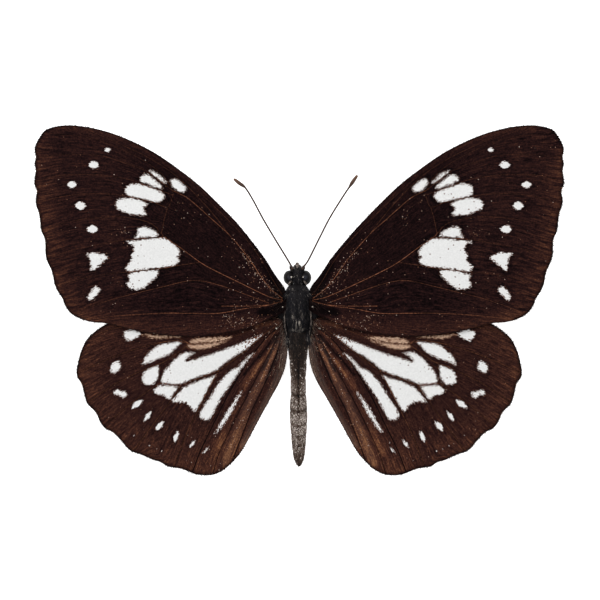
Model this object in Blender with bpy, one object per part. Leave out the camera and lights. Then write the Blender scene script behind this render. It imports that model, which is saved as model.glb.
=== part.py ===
"""A spread brush-footed butterfly, dried and lying on its underside with its wings set flat.

Lengths are millimetres until place() turns them into metres. +X is the specimen's right,
+Y its head end and +Z its upper side. The origin is on the surface it rests on, under the
middle of the wings. Wing outlines and veins are drawn once, for the right side, as
(outward, forward) points, and both sides are made from them. Neighbouring pieces keep a
gap of 0.1 mm or more.
"""

import math

import bmesh
import bpy
from mathutils import Vector
from mathutils.geometry import delaunay_2d_cdt

MM = 0.001
SHARP = math.radians(40)

# Wings: one shared setting plane, with the forewing above it and the hindwing below
ROOT_OUT, PLANE_ROOT_HEIGHT = 2.4, 4.6
PLANE_RISE, PLANE_RISE_FADE = 0.06, 0.0004  # the plane climbs outwards, less and less steeply
FORE_LIFT, FORE_CAMBER = 0.5, 0.0016
FORE_CHORD_START, FORE_CHORD_SLOPE = 0.3, 0.36  # the line along which the forewing stands highest
HIND_DROP, HIND_DROOP, HIND_DROOP_START = 0.45, 0.0025, -6.0
MEMBRANE = 0.24
VEIN_HEIGHT, VEIN_HALF_WIDTH = 0.08, 0.3
CREASE_DEPTH, CREASE_HALF_WIDTH = 0.22, 0.8

# Spacing of the points that a wing's surface is made from
MARGIN_STEP, VEIN_STEP, FILL_STEP = 1.15, 2.7, 3.4
CLEAR_OF_MARGIN, CLEAR_OF_POINTS = 0.55, 0.24
FILL_ROOM = 0.55  # how near a fill point may come to another, as a share of FILL_STEP

# The body has dried a little out of line: its head end lies to the left of the wings' middle
LEAN_MIDDLE, LEAN_SLOPE = -0.27, -0.0083
LEAN_FADE = 8.0  # how far out along a wing the shift dies away

# Chief sizes of the head's pieces, and how far out the eyes are cut flat against it
EYE_CENTRE, EYE_RADII, EYE_FACE = (1.3, 3.85, 3.95), (0.98, 1.16, 1.25), 1.16
SHAFT_RADIUS, CLUB_RADIUS, CLUB_LENGTH, SHAFT_STEP = 0.11, 0.31, 2.9, 1.3
CLUB_START, CLUB_END = 0.12, 0.9  # the stretch of a half wave that the club's outline follows
COIL_FORWARD, COIL_UP, COIL_FLATNESS = 4.95, 1.45, 0.9
COIL_RADII, COIL_TURNS, COIL_STEPS = (0.9, 0.34), 2.0, 30
TONGUE_RADII = (0.13, 0.08)

# Root, costa, rounded tip, scalloped outer margin, then the inner margin back to the root
FOREWING_OUTLINE = [
    (2.4, 1.3), (3.6, 3.8), (5.2, 6.6), (7.5, 9.6), (10.2, 12.8), (13.2, 15.9), (16.5, 19.1),
    (20.2, 22.0), (24.0, 24.6), (27.9, 26.6), (31.5, 28.0), (35.2, 28.9), (38.5, 29.2),
    (40.9, 28.9), (42.3, 28.3), (43.1, 27.3),
    (43.8, 26.0), (44.0, 25.1), (43.8, 23.9), (44.0, 22.7), (43.8, 21.6), (44.0, 20.4),
    (44.0, 19.3), (43.6, 18.2), (43.8, 16.9), (43.7, 15.7), (43.3, 14.7), (43.1, 13.5),
    (43.0, 12.4), (42.8, 11.4), (42.3, 10.3), (42.2, 9.2), (42.2, 8.0), (42.0, 6.9),
    (41.6, 5.9), (41.2, 5.1), (40.9, 3.9), (40.7, 2.8), (40.3, 1.8), (39.8, 1.0),
    (39.3, 0.2), (39.0, -0.7), (38.0, -2.1), (36.2, -3.1), (34.2, -3.6), (31.9, -3.8),
    (28.5, -4.7), (24.9, -5.4), (20.5, -5.9), (16.5, -5.9), (12.2, -5.4), (8.2, -4.5),
    (5.2, -3.2), (2.4, -1.4),
]
# Root, front edge under the forewing, scalloped outer margin, then the edge along the abdomen
HINDWING_OUTLINE = [
    (2.4, -2.6), (4.5, -1.9), (8.2, -1.2), (12.9, -0.9), (18.2, -0.9), (23.2, -1.4),
    (27.5, -2.2), (30.5, -3.1), (32.2, -3.9),
    (34.0, -5.1), (35.4, -6.5), (36.3, -8.3), (36.8, -10.1), (37.1, -11.8), (36.9, -12.9),
    (36.3, -13.7), (36.0, -14.8), (35.7, -16.1), (35.3, -17.2), (34.5, -18.0), (33.8, -18.8),
    (33.4, -19.8), (32.9, -20.7), (32.2, -21.4), (31.2, -21.9), (30.3, -22.7), (29.5, -23.6),
    (28.8, -24.5), (27.9, -25.2), (26.7, -25.6), (25.5, -26.1), (24.4, -26.6), (23.1, -27.0),
    (22.0, -27.7), (20.9, -27.9), (19.7, -28.1), (18.4, -28.6), (17.2, -29.05), (15.7, -29.2),
    (14.2, -29.05), (12.5, -28.2), (10.5, -26.3),
    (9.2, -24.5), (7.6, -21.6), (5.8, -18.3), (4.0, -15.0), (2.9, -11.9), (2.4, -9.4),
    (2.3, -7.1), (2.4, -4.9),
]

# Raised veins, each drawn from the root or its fork outwards
FOREWING_VEINS = {
    "subcosta": [(3.0, 1.0), (5.5, 5.8), (8.5, 9.9), (16.5, 17.9), (21.9, 22.4), (31.0, 27.7)],
    "radius": [(3.0, 0.4), (5.7, 3.3), (8.2, 6.9), (14.9, 13.9), (18.2, 16.8), (21.2, 18.4)],
    "radius_1": [(11.2, 10.4), (14.4, 14.5), (20.5, 20.8), (24.9, 23.7), (35.5, 28.6)],
    "radius_4": [(21.2, 18.4), (21.9, 19.9), (25.4, 23.0), (31.9, 26.2), (42.4, 27.9)],
    "radius_5": [(21.2, 18.4), (25.0, 21.3), (30.7, 23.5), (34.9, 24.3), (43.7, 23.9)],
    "media_1": [(21.0, 17.6), (22.4, 18.1), (28.5, 20.2), (33.2, 20.9), (43.9, 19.9)],
    "media_2": [(21.9, 15.6), (25.7, 16.7), (32.4, 17.8), (36.5, 17.7), (43.6, 16.3)],
    "media_3": [(23.0, 11.3), (25.5, 13.2), (29.0, 13.9), (35.7, 13.6), (42.9, 11.7)],
    "cell_end": [(21.2, 18.4), (21.0, 17.6), (21.9, 15.6), (22.5, 13.4), (23.0, 11.3)],
    "cubitus": [(3.0, 0.1), (5.2, 0.8), (9.9, 3.0), (16.5, 6.4), (19.9, 8.9), (23.0, 11.3)],
    "cubitus_1": [(22.4, 10.6), (29.0, 10.1), (33.5, 9.3), (42.0, 7.0)],
    "cubitus_2": [(16.5, 6.4), (19.9, 5.9), (28.2, 4.8), (32.4, 4.4), (40.5, 2.4)],
    "anal": [(3.0, -0.1), (5.2, -0.8), (13.5, -2.1), (23.2, -2.1), (35.9, -3.2)],
}
HINDWING_VEINS = {
    "subcosta": [(3.2, -3.1), (6.2, -2.4), (14.0, -1.8), (23.2, -2.6), (33.5, -4.8)],
    "radius": [(3.4, -3.4), (7.4, -4.7), (14.5, -6.9), (18.2, -7.2)],
    "radial_sector": [(18.2, -7.2), (23.2, -5.1), (27.4, -4.4), (31.2, -4.7), (35.2, -6.3)],
    "media_1": [(18.2, -7.2), (20.7, -6.7), (27.4, -8.1), (31.5, -9.6), (37.0, -12.1)],
    "media_2": [(18.2, -7.2), (22.4, -10.1), (28.2, -12.6), (31.5, -14.4), (35.4, -17.1)],
    "cell_end": [(22.4, -10.1), (23.1, -11.1), (23.2, -13.8), (21.5, -14.0), (19.7, -14.1)],
    "media_3": [(23.2, -13.8), (25.7, -15.4), (29.0, -17.9), (32.6, -21.0)],
    "cubitus": [(3.4, -4.0), (5.7, -5.6), (12.2, -10.8), (17.9, -13.4), (19.7, -14.1)],
    "cubitus_1": [(19.7, -14.1), (21.2, -16.3), (23.7, -19.7), (27.7, -25.2)],
    "cubitus_2": [(13.4, -11.6), (15.0, -14.5), (18.8, -22.2), (21.0, -27.8)],
}
# Sunken fold lines, which pleat the membrane without thickening it
FOREWING_CREASES = {
    "fold": [(4.9, -0.4), (12.4, 2.3), (18.5, 3.3), (26.5, 1.4), (36.5, -1.7)],
}
HINDWING_CREASES = {
    "anal_1": [(3.4, -4.4), (6.2, -7.1), (9.2, -11.2), (14.2, -20.4), (17.9, -28.7)],
    "anal_2": [(3.2, -4.7), (5.5, -8.2), (7.9, -13.1), (13.0, -24.2), (14.6, -29.1)],
    "anal_3": [(3.0, -5.2), (4.5, -8.9), (8.4, -17.6), (12.1, -27.6)],
}

# Body cross-sections from front to back: forward, half width, lowest, highest
THORAX_SECTIONS = [
    (2.75, 0.95, 2.9, 4.9), (2.45, 1.5, 2.1, 5.35), (1.9, 1.85, 1.2, 5.75), (1.1, 2.15, 0.3, 6.1),
    (0.0, 2.3, -0.3, 6.4), (-1.4, 2.3, -0.45, 6.5), (-2.7, 2.25, -0.35, 6.3),
    (-3.8, 2.05, 0.25, 5.9), (-4.6, 1.8, 0.95, 5.4), (-5.1, 1.4, 1.6, 4.9),
]
HEAD_SECTIONS = [
    (5.65, 0.3, 3.4, 4.1), (5.4, 0.7, 2.9, 4.6), (4.9, 0.95, 2.6, 5.0), (4.0, 1.05, 2.5, 5.2),
    (3.3, 1.0, 2.7, 5.0), (2.85, 0.7, 3.1, 4.6),
]
# The abdomen sinks from the thorax to the surface; every second ring is a joint between segments
ABDOMEN_BACK = [5.2, 7.1, 9.9, 12.7, 15.5, 18.2, 20.5, 22.3, 24.1]
ABDOMEN_HALF_WIDTHS = [1.5, 1.72, 1.42, 1.3, 1.32, 1.42, 1.36, 1.25, 1.12]
ABDOMEN_MIDDLES = [3.3, 3.2, 3.0, 2.75, 2.45, 2.15, 1.85, 1.6, 1.4]
ABDOMEN_TIP = [(-25.4, 0.98, 1.2), (-26.5, 0.62, 1.1), (-27.4, 0.2, 1.05)]
JOINT_PINCH, JOINT_SHARE, ABDOMEN_DEPTH = 0.93, 0.18, 1.04

# Centre lines: outward, forward, up. The two antennae dried into slightly different curves
ANTENNA_LINES = {
    "left": [(-1.12, 5.3, 4.6), (-1.35, 5.8, 4.95), (-1.9, 6.8, 5.3), (-3.8, 9.9, 5.7),
             (-6.0, 13.6, 6.1), (-7.6, 16.6, 6.4), (-8.9, 18.7, 6.6), (-9.9, 19.5, 6.6),
             (-10.9, 20.3, 6.5)],
    "right": [(0.5, 5.3, 4.6), (0.85, 5.8, 4.95), (1.6, 6.9, 5.3), (3.4, 10.5, 5.7),
              (5.1, 13.8, 6.1), (7.2, 17.2, 6.4), (8.4, 19.0, 6.6), (9.0, 19.9, 6.6),
              (9.7, 20.9, 6.5)],
}
PALP_LINE = [(0.44, 5.3, 2.3), (0.46, 5.85, 2.8), (0.38, 6.05, 3.5), (0.28, 6.2, 4.25)]
PALP_RADII = [0.13, 0.24, 0.25, 0.07]
# Each leg: hip, knee, ankle and claw, with a point between where the piece bows
FORELEG_LINE = [(0.95, 2.75, 1.5), (1.25, 3.6, 1.3), (1.4, 3.2, 0.75), (1.3, 2.2, 0.4), (1.2, 1.4, 0.25)]
FORELEG_RADII = [0.16, 0.2, 0.17, 0.13, 0.08]
MIDLEG_LINE = [(1.8, -0.3, 0.42), (2.7, 0.4, 1.0), (4.0, 1.1, 1.6), (4.9, -0.4, 1.05),
               (5.4, -2.1, 0.35), (5.2, -4.2, 0.12), (4.7, -6.6, 0.12)]
HINDLEG_LINE = [(1.8, -2.7, 0.42), (2.7, -3.3, 1.0), (3.9, -4.0, 1.6), (4.3, -6.0, 1.0),
                (4.4, -8.2, 0.35), (4.0, -10.0, 0.12), (3.5, -11.9, 0.12)]
LEG_RADII = [0.2, 0.26, 0.22, 0.15, 0.13, 0.11, 0.09]

SCALES_BROWN = (0.035, 0.017, 0.014)
SCALES_DARK = (0.014, 0.012, 0.012)
SCALES_GREY = (0.14, 0.115, 0.1)
HORN_BLACK = (0.02, 0.016, 0.015)
EYE_GREY = (0.028, 0.023, 0.022)
TONGUE_BROWN = (0.12, 0.05, 0.02)


def material(name, colour, roughness):
    """A plain surface finish."""
    made = bpy.data.materials.new(name)
    made.use_nodes = True
    shader = made.node_tree.nodes["Principled BSDF"]
    shader.inputs["Base Color"].default_value = (*colour, 1.0)
    shader.inputs["Roughness"].default_value = roughness
    made.diffuse_color = (*colour, 1.0)
    return made


def lean(point):
    """How far a point of the body, or of a wing near its root, has moved sideways."""
    share = 1 - (abs(point.x) - ROOT_OUT) / LEAN_FADE
    return (LEAN_MIDDLE + LEAN_SLOPE * point.y) * max(0.0, min(1.0, share))


def place(name, mesh, finish, leans=True):
    """Turns a bmesh in millimetres into a named object in metres."""
    for corner in mesh.verts:
        corner.co.x += lean(corner.co) if leans else 0.0
    bmesh.ops.scale(mesh, vec=(MM, MM, MM), verts=mesh.verts)
    bmesh.ops.recalc_face_normals(mesh, faces=mesh.faces)
    data = bpy.data.meshes.new(name)
    mesh.to_mesh(data)
    mesh.free()
    data.shade_smooth()
    data.set_sharp_from_angle(angle=SHARP)
    data.materials.append(finish)
    made = bpy.data.objects.new(name, data)
    bpy.context.scene.collection.objects.link(made)
    return made


def spline(points, step, closed=False):
    """A Catmull-Rom curve through the points, cut into stretches of about one step."""
    nodes = [Vector(p) for p in points]
    count = len(nodes)
    curve = []
    for i in range(count if closed else count - 1):
        start, end = nodes[i], nodes[(i + 1) % count]
        before = nodes[i - 1] if closed or i > 0 else start * 2 - end
        after = nodes[(i + 2) % count] if closed or i + 2 < count else end * 2 - start
        cuts = max(1, round((end - start).length / step))
        for k in range(cuts):
            t = k / cuts
            curve.append(
                (
                    start * 2
                    + (end - before) * t
                    + (before * 2 - start * 5 + end * 4 - after) * t**2
                    + (start * 3 - before - end * 3 + after) * t**3
                )
                / 2
            )
    if not closed:
        curve.append(nodes[-1])
    return curve


def distance_to_line(point, line):
    """Shortest distance from a point to a run of straight stretches."""
    nearest = math.inf
    for start, end in zip(line, line[1:]):
        along = end - start
        share = max(0.0, min(1.0, (point - start).dot(along) / along.length_squared))
        nearest = min(nearest, (point - start - along * share).length)
    return nearest


def setting_plane(outward):
    """Height of the plane both wings are set to, which rises gently towards the tips."""
    reach = outward - ROOT_OUT
    return PLANE_ROOT_HEIGHT + PLANE_RISE * reach - PLANE_RISE_FADE * reach**2


def forewing_height(point):
    """Middle of the forewing's membrane: cambered about its own chord."""
    from_chord = point.y - FORE_CHORD_START - FORE_CHORD_SLOPE * point.x
    return setting_plane(point.x) + FORE_LIFT - FORE_CAMBER * from_chord**2


def hindwing_height(point):
    """Middle of the hindwing's membrane, which droops behind."""
    behind = min(0.0, point.y - HIND_DROOP_START)
    return setting_plane(point.x) - HIND_DROP - HIND_DROOP * behind**2


def wing_points(margin, veins, creases):
    """Points inside the margin: each vein with its two flanks, then a loose fill between."""
    rim = margin + margin[:1]
    points, edges = [], []

    def keep(point, room):
        far_in = distance_to_line(point, rim) > CLEAR_OF_MARGIN
        if far_in and inside(point, margin) and all((point - p).length > room for p in points):
            points.append(point)
            return len(points) - 1
        return None

    flanks = []
    for line in veins + creases:
        half = VEIN_HALF_WIDTH if line in veins else CREASE_HALF_WIDTH
        last = None
        for i, point in enumerate(line):
            here = keep(point, CLEAR_OF_POINTS)
            if here is not None and last is not None:
                edges.append((last, here))
            last = here
            ahead = line[min(i + 1, len(line) - 1)] - line[max(i - 1, 0)]
            across = Vector((-ahead.y, ahead.x)).normalized() * half
            flanks += [point + across, point - across]
    for point in flanks:
        keep(point, CLEAR_OF_POINTS)
    reach = max(p.x for p in margin)
    front, back = max(p.y for p in margin), min(p.y for p in margin)
    for i in range(math.ceil(reach / FILL_STEP)):
        for k in range(math.ceil((front - back) / FILL_STEP)):
            shift = FILL_STEP / 2 if i % 2 else 0.0
            keep(Vector((i * FILL_STEP, back + k * FILL_STEP + shift)), FILL_STEP * FILL_ROOM)
    return points, edges


def inside(point, outline):
    """Whether a point lies within a closed outline."""
    crossings = 0
    for start, end in zip(outline, outline[1:] + outline[:1]):
        if (start.y > point.y) != (end.y > point.y):
            at = start.x + (point.y - start.y) / (end.y - start.y) * (end.x - start.x)
            crossings += at > point.x
    return crossings % 2 == 1


def wing(name, side, outline, vein_lines, crease_lines, height, finish):
    """One wing: a thin membrane with an upper and a lower face, raised veins and pleats."""
    margin = spline(outline, MARGIN_STEP, closed=True)
    veins = [spline(line, VEIN_STEP) for line in vein_lines.values()]
    creases = [spline(line, VEIN_STEP) for line in crease_lines.values()]
    points, edges = wing_points(margin, veins, creases)
    count = len(margin)
    flat, _, faces, *_ = delaunay_2d_cdt(
        margin + points,
        [(a + count, b + count) for a, b in edges],
        [list(reversed(range(count)))],
        1,
        1e-4,
    )
    mesh = bmesh.new()
    sheets = {1: [], -1: []}
    for point in flat:
        vein = min(distance_to_line(point, line) for line in veins)
        crease = min(distance_to_line(point, line) for line in creases)
        middle = height(point) - CREASE_DEPTH * max(0.0, 1 - crease / CREASE_HALF_WIDTH)
        half = MEMBRANE / 2 + VEIN_HEIGHT * max(0.0, 1 - vein / VEIN_HALF_WIDTH)
        for face, sheet in sheets.items():
            sheet.append(mesh.verts.new((side * point.x, point.y, middle + face * half)))
    uses = {}
    for face in faces:
        mesh.faces.new([sheets[1][i] for i in face])
        mesh.faces.new([sheets[-1][i] for i in reversed(face)])
        for a, b in zip(face, face[1:] + face[:1]):
            uses[frozenset((a, b))] = None if frozenset((a, b)) in uses else (a, b)
    for a, b in filter(None, uses.values()):
        mesh.faces.new((sheets[1][b], sheets[1][a], sheets[-1][a], sheets[-1][b]))
    return place(name, mesh, finish)


def loft(rings, mesh=None):
    """A closed skin over rings of points, each end fanned to the middle of its last ring."""
    mesh = mesh or bmesh.new()
    loops = [[mesh.verts.new(p) for p in ring] for ring in rings]
    for near, far in zip(loops, loops[1:]):
        for i in range(len(near)):
            k = (i + 1) % len(near)
            mesh.faces.new((near[i], near[k], far[k], far[i]))
    for loop in (loops[0], loops[-1]):
        middle = mesh.verts.new(sum((v.co for v in loop), Vector()) / len(loop))
        for i, corner in enumerate(loop):
            mesh.faces.new((corner, loop[(i + 1) % len(loop)], middle))
    return mesh


def section(forward, half_width, low, high, sides):
    """One upright oval ring of the body."""
    middle, half = (low + high) / 2, (high - low) / 2
    turns = [math.tau * (i + 0.5) / sides for i in range(sides)]
    return [(half_width * math.cos(t), forward, middle + half * math.sin(t)) for t in turns]


def tube(line, radii, sides):
    """A closed tube along a line of points, with a radius at each of them."""
    points = [Vector(p) for p in line]
    rings = []
    across = None
    for i, point in enumerate(points):
        ahead = (points[min(i + 1, len(points) - 1)] - points[max(i - 1, 0)]).normalized()
        if across is None:
            across = ahead.cross(Vector((0, 0, 1)))
        across = (across - ahead * across.dot(ahead)).normalized()
        other = ahead.cross(across)
        turns = [math.tau * (k + 0.5) / sides for k in range(sides)]
        rings.append([point + (across * math.cos(t) + other * math.sin(t)) * radii[i] for t in turns])
    return loft(rings)


def mirrored(line, side):
    """The same line on the given side of the body."""
    return [(side * x, y, z) for x, y, z in line]


def cut_flat(mesh, on_plane, outward):
    """Cuts away what lies beyond a plane, and closes the cut with one flat face."""
    everything = mesh.verts[:] + mesh.edges[:] + mesh.faces[:]
    cut = bmesh.ops.bisect_plane(
        mesh, geom=everything, plane_co=on_plane, plane_no=outward, clear_outer=True
    )
    rim = [e for e in cut["geom_cut"] if isinstance(e, bmesh.types.BMEdge)]
    bmesh.ops.contextual_create(mesh, geom=rim)


def thorax(finish):
    """The barrel between the wings, flat below where the specimen rests."""
    mesh = loft([section(*values, sides=20) for values in THORAX_SECTIONS])
    cut_flat(mesh, (0, 0, 0), (0, 0, -1))
    return place("thorax", mesh, finish)


def abdomen(finish):
    """Nine segments that sink towards the surface, pinched at each joint, and a pointed tip."""
    rings = []
    sizes = list(zip(ABDOMEN_BACK, ABDOMEN_HALF_WIDTHS, ABDOMEN_MIDDLES))
    for near, far in zip(sizes, sizes[1:]):
        for share, pinch in ((0.0, JOINT_PINCH), (JOINT_SHARE, 1.0), (1 - JOINT_SHARE, 1.0)):
            back, half, middle = (a + (b - a) * share for a, b in zip(near, far))
            depth = half * pinch * ABDOMEN_DEPTH
            rings.append(section(-back, half * pinch, middle - depth, middle + depth, 14))
    for forward, half, middle in ABDOMEN_TIP:
        rings.append(section(forward, half, middle - half, middle + half, 14))
    return place("abdomen", loft(rings), finish)


def eye(name, side, finish):
    """A bulging compound eye, flat where it meets the head."""
    mesh = bmesh.new()
    bmesh.ops.create_uvsphere(mesh, u_segments=14, v_segments=9, radius=1.0)
    bmesh.ops.scale(mesh, vec=EYE_RADII, verts=mesh.verts)
    bmesh.ops.translate(mesh, vec=EYE_CENTRE, verts=mesh.verts)
    cut_flat(mesh, (EYE_FACE, 0, 0), (-1, 0, 0))
    bmesh.ops.scale(mesh, vec=(side, 1, 1), verts=mesh.verts)
    return place(name, mesh, finish)


def antenna(name, line, finish):
    """A hair-thin shaft that swells into a blunt club."""
    curve = spline(line, SHAFT_STEP)
    to_tip = [0.0]
    for a, b in zip(curve[::-1], curve[-2::-1]):
        to_tip.insert(0, to_tip[0] + (b - a).length)
    radii = []
    for run in to_tip:
        share = max(0.0, 1 - run / CLUB_LENGTH)
        swell = math.sin(math.pi * (CLUB_START + share * (CLUB_END - CLUB_START)))
        club = SHAFT_RADIUS + (CLUB_RADIUS - SHAFT_RADIUS) * swell
        radii.append(club if share > 0 else SHAFT_RADIUS)
    radii[0] = 2 * SHAFT_RADIUS
    return place(name, tube(curve, radii, 6), finish, leans=False)


def proboscis(finish):
    """The tongue, coiled upright between the palps."""
    line, radii = [], []
    for i in range(COIL_STEPS + 1):
        share = i / COIL_STEPS
        turn = math.tau * COIL_TURNS * share + math.pi / 2
        radius = COIL_RADII[0] + (COIL_RADII[1] - COIL_RADII[0]) * share
        up = radius * math.sin(turn) * COIL_FLATNESS
        line.append((0.0, COIL_FORWARD - radius * math.cos(turn), COIL_UP + up))
        radii.append(TONGUE_RADII[0] + (TONGUE_RADII[1] - TONGUE_RADII[0]) * share)
    return place("proboscis", tube(line, radii, 6), finish)


def build():
    """Clears the scene and makes every piece."""
    for old in list(bpy.data.objects):
        bpy.data.objects.remove(old)
    wings = material("brown_wing_scales", SCALES_BROWN, 0.75)
    fur = material("dark_body_fur", SCALES_DARK, 0.8)
    belly = material("grey_abdomen_scales", SCALES_GREY, 0.85)
    horn = material("black_horn", HORN_BLACK, 0.45)
    lens = material("glossy_eye", EYE_GREY, 0.15)
    tongue = material("brown_tongue", TONGUE_BROWN, 0.4)

    thorax(fur)
    place("head", loft([section(*values, sides=14) for values in HEAD_SECTIONS]), fur)
    abdomen(belly)
    proboscis(tongue)
    for word, side in (("left", -1), ("right", 1)):
        wing(
            f"forewing_{word}", side, FOREWING_OUTLINE, FOREWING_VEINS, FOREWING_CREASES,
            forewing_height, wings,
        )
        wing(
            f"hindwing_{word}", side, HINDWING_OUTLINE, HINDWING_VEINS, HINDWING_CREASES,
            hindwing_height, wings,
        )
        eye(f"eye_{word}", side, lens)
        antenna(f"antenna_{word}", ANTENNA_LINES[word], horn)
        place(f"palp_{word}", tube(mirrored(PALP_LINE, side), PALP_RADII, 8), fur)
        place(f"foreleg_{word}", tube(mirrored(FORELEG_LINE, side), FORELEG_RADII, 6), fur)
        place(f"midleg_{word}", tube(mirrored(MIDLEG_LINE, side), LEG_RADII, 6), horn)
        place(f"hindleg_{word}", tube(mirrored(HINDLEG_LINE, side), LEG_RADII, 6), horn)


build()
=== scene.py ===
"""Looks of a spread brush-footed butterfly specimen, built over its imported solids.

Sizes are millimetres until a mesh is made. +X is the specimen's right, +Y its head end and +Z
its upper side. Each wing is drawn once, for the right side, as (outward, forward) points.
"""

import logging
import math
from dataclasses import dataclass
from enum import Enum
from functools import partial

import bmesh
import bpy
import numpy as np
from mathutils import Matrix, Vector
from mathutils.geometry import delaunay_2d_cdt

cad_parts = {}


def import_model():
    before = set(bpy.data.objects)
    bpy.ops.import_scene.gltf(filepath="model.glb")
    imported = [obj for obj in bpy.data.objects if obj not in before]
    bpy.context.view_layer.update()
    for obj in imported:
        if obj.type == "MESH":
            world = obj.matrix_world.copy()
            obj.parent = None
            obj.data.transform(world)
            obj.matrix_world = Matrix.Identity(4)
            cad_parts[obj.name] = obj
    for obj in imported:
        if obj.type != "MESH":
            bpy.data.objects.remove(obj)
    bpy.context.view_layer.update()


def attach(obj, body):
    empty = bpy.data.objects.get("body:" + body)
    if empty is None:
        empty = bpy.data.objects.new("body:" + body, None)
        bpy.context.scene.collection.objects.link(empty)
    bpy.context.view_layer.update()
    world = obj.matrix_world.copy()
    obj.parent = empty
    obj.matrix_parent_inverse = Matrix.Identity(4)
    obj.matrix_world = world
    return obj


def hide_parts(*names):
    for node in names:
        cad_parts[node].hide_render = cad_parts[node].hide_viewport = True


Line = list[tuple[float, ...]]
Array = np.ndarray
Tree, Node, Socket = bpy.types.NodeTree, bpy.types.Node, bpy.types.NodeSocket
Piece = bpy.types.Object
MM = 0.001
LOG = logging.getLogger("specimen")

# The setting plane, camber and lean that the solids have
ROOT_OUT, PLANE_ROOT_HEIGHT = 2.4, 4.6
PLANE_RISE, PLANE_RISE_FADE = 0.06, 0.0004
FORE_LIFT, FORE_CAMBER = 0.5, 0.0016
FORE_CHORD_START, FORE_CHORD_SLOPE = 0.3, 0.36
HIND_DROP, HIND_DROOP, HIND_DROOP_START = 0.45, 0.0025, -6.0
LEAN_MIDDLE, LEAN_SLOPE, LEAN_FADE = -0.27, -0.0083, 8.0

# Root, costa, rounded tip, scalloped outer margin, then the inner margin back to the root
FORE_OUTLINE = [
    (2.4, 1.3), (3.6, 3.8), (5.2, 6.6), (7.5, 9.6), (10.2, 12.8), (13.2, 15.9), (16.5, 19.1),
    (20.2, 22.0), (24.0, 24.6), (27.9, 26.6), (31.5, 28.0), (35.2, 28.9), (38.5, 29.2), (40.9, 28.9),
    (42.3, 28.3), (43.1, 27.3), (43.8, 26.0), (44.0, 25.1), (43.8, 23.9), (44.0, 22.7), (43.8, 21.6),
    (44.0, 20.4), (44.0, 19.3), (43.6, 18.2), (43.8, 16.9), (43.7, 15.7), (43.3, 14.7), (43.1, 13.5),
    (43.0, 12.4), (42.8, 11.4), (42.3, 10.3), (42.2, 9.2), (42.2, 8.0), (42.0, 6.9), (41.6, 5.9),
    (41.2, 5.1), (40.9, 3.9), (40.7, 2.8), (40.3, 1.8), (39.8, 1.0), (39.3, 0.2), (39.0, -0.7),
    (38.0, -2.1), (36.2, -3.1), (34.2, -3.6), (31.9, -3.8), (28.5, -4.7), (24.9, -5.4), (20.5, -5.9),
    (16.5, -5.9), (12.2, -5.4), (8.2, -4.5), (5.2, -3.2), (2.4, -1.4),
]
FORE_COSTA, FORE_TERMEN = slice(0, 13), slice(14, 44)
HIND_OUTLINE = [
    (2.4, -2.6), (4.5, -1.9), (8.2, -1.2), (12.9, -0.9), (18.2, -0.9), (23.2, -1.4), (27.5, -2.2),
    (30.5, -3.1), (32.2, -3.9), (34.0, -5.1), (35.4, -6.5), (36.3, -8.3), (36.8, -10.1), (37.1, -11.8),
    (36.9, -12.9), (36.3, -13.7), (36.0, -14.8), (35.7, -16.1), (35.3, -17.2), (34.5, -18.0),
    (33.8, -18.8), (33.4, -19.8), (32.9, -20.7), (32.2, -21.4), (31.2, -21.9), (30.3, -22.7),
    (29.5, -23.6), (28.8, -24.5), (27.9, -25.2), (26.7, -25.6), (25.5, -26.1), (24.4, -26.6),
    (23.1, -27.0), (22.0, -27.7), (20.9, -27.9), (19.7, -28.1), (18.4, -28.6), (17.2, -29.05),
    (15.7, -29.2), (14.2, -29.05), (12.5, -28.2), (10.5, -26.3), (9.2, -24.5), (7.6, -21.6), (5.8, -18.3),
    (4.0, -15.0), (2.9, -11.9), (2.4, -9.4), (2.3, -7.1), (2.4, -4.9),
]
HIND_TERMEN, HIND_INNER_START = slice(8, 42), 41

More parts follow.
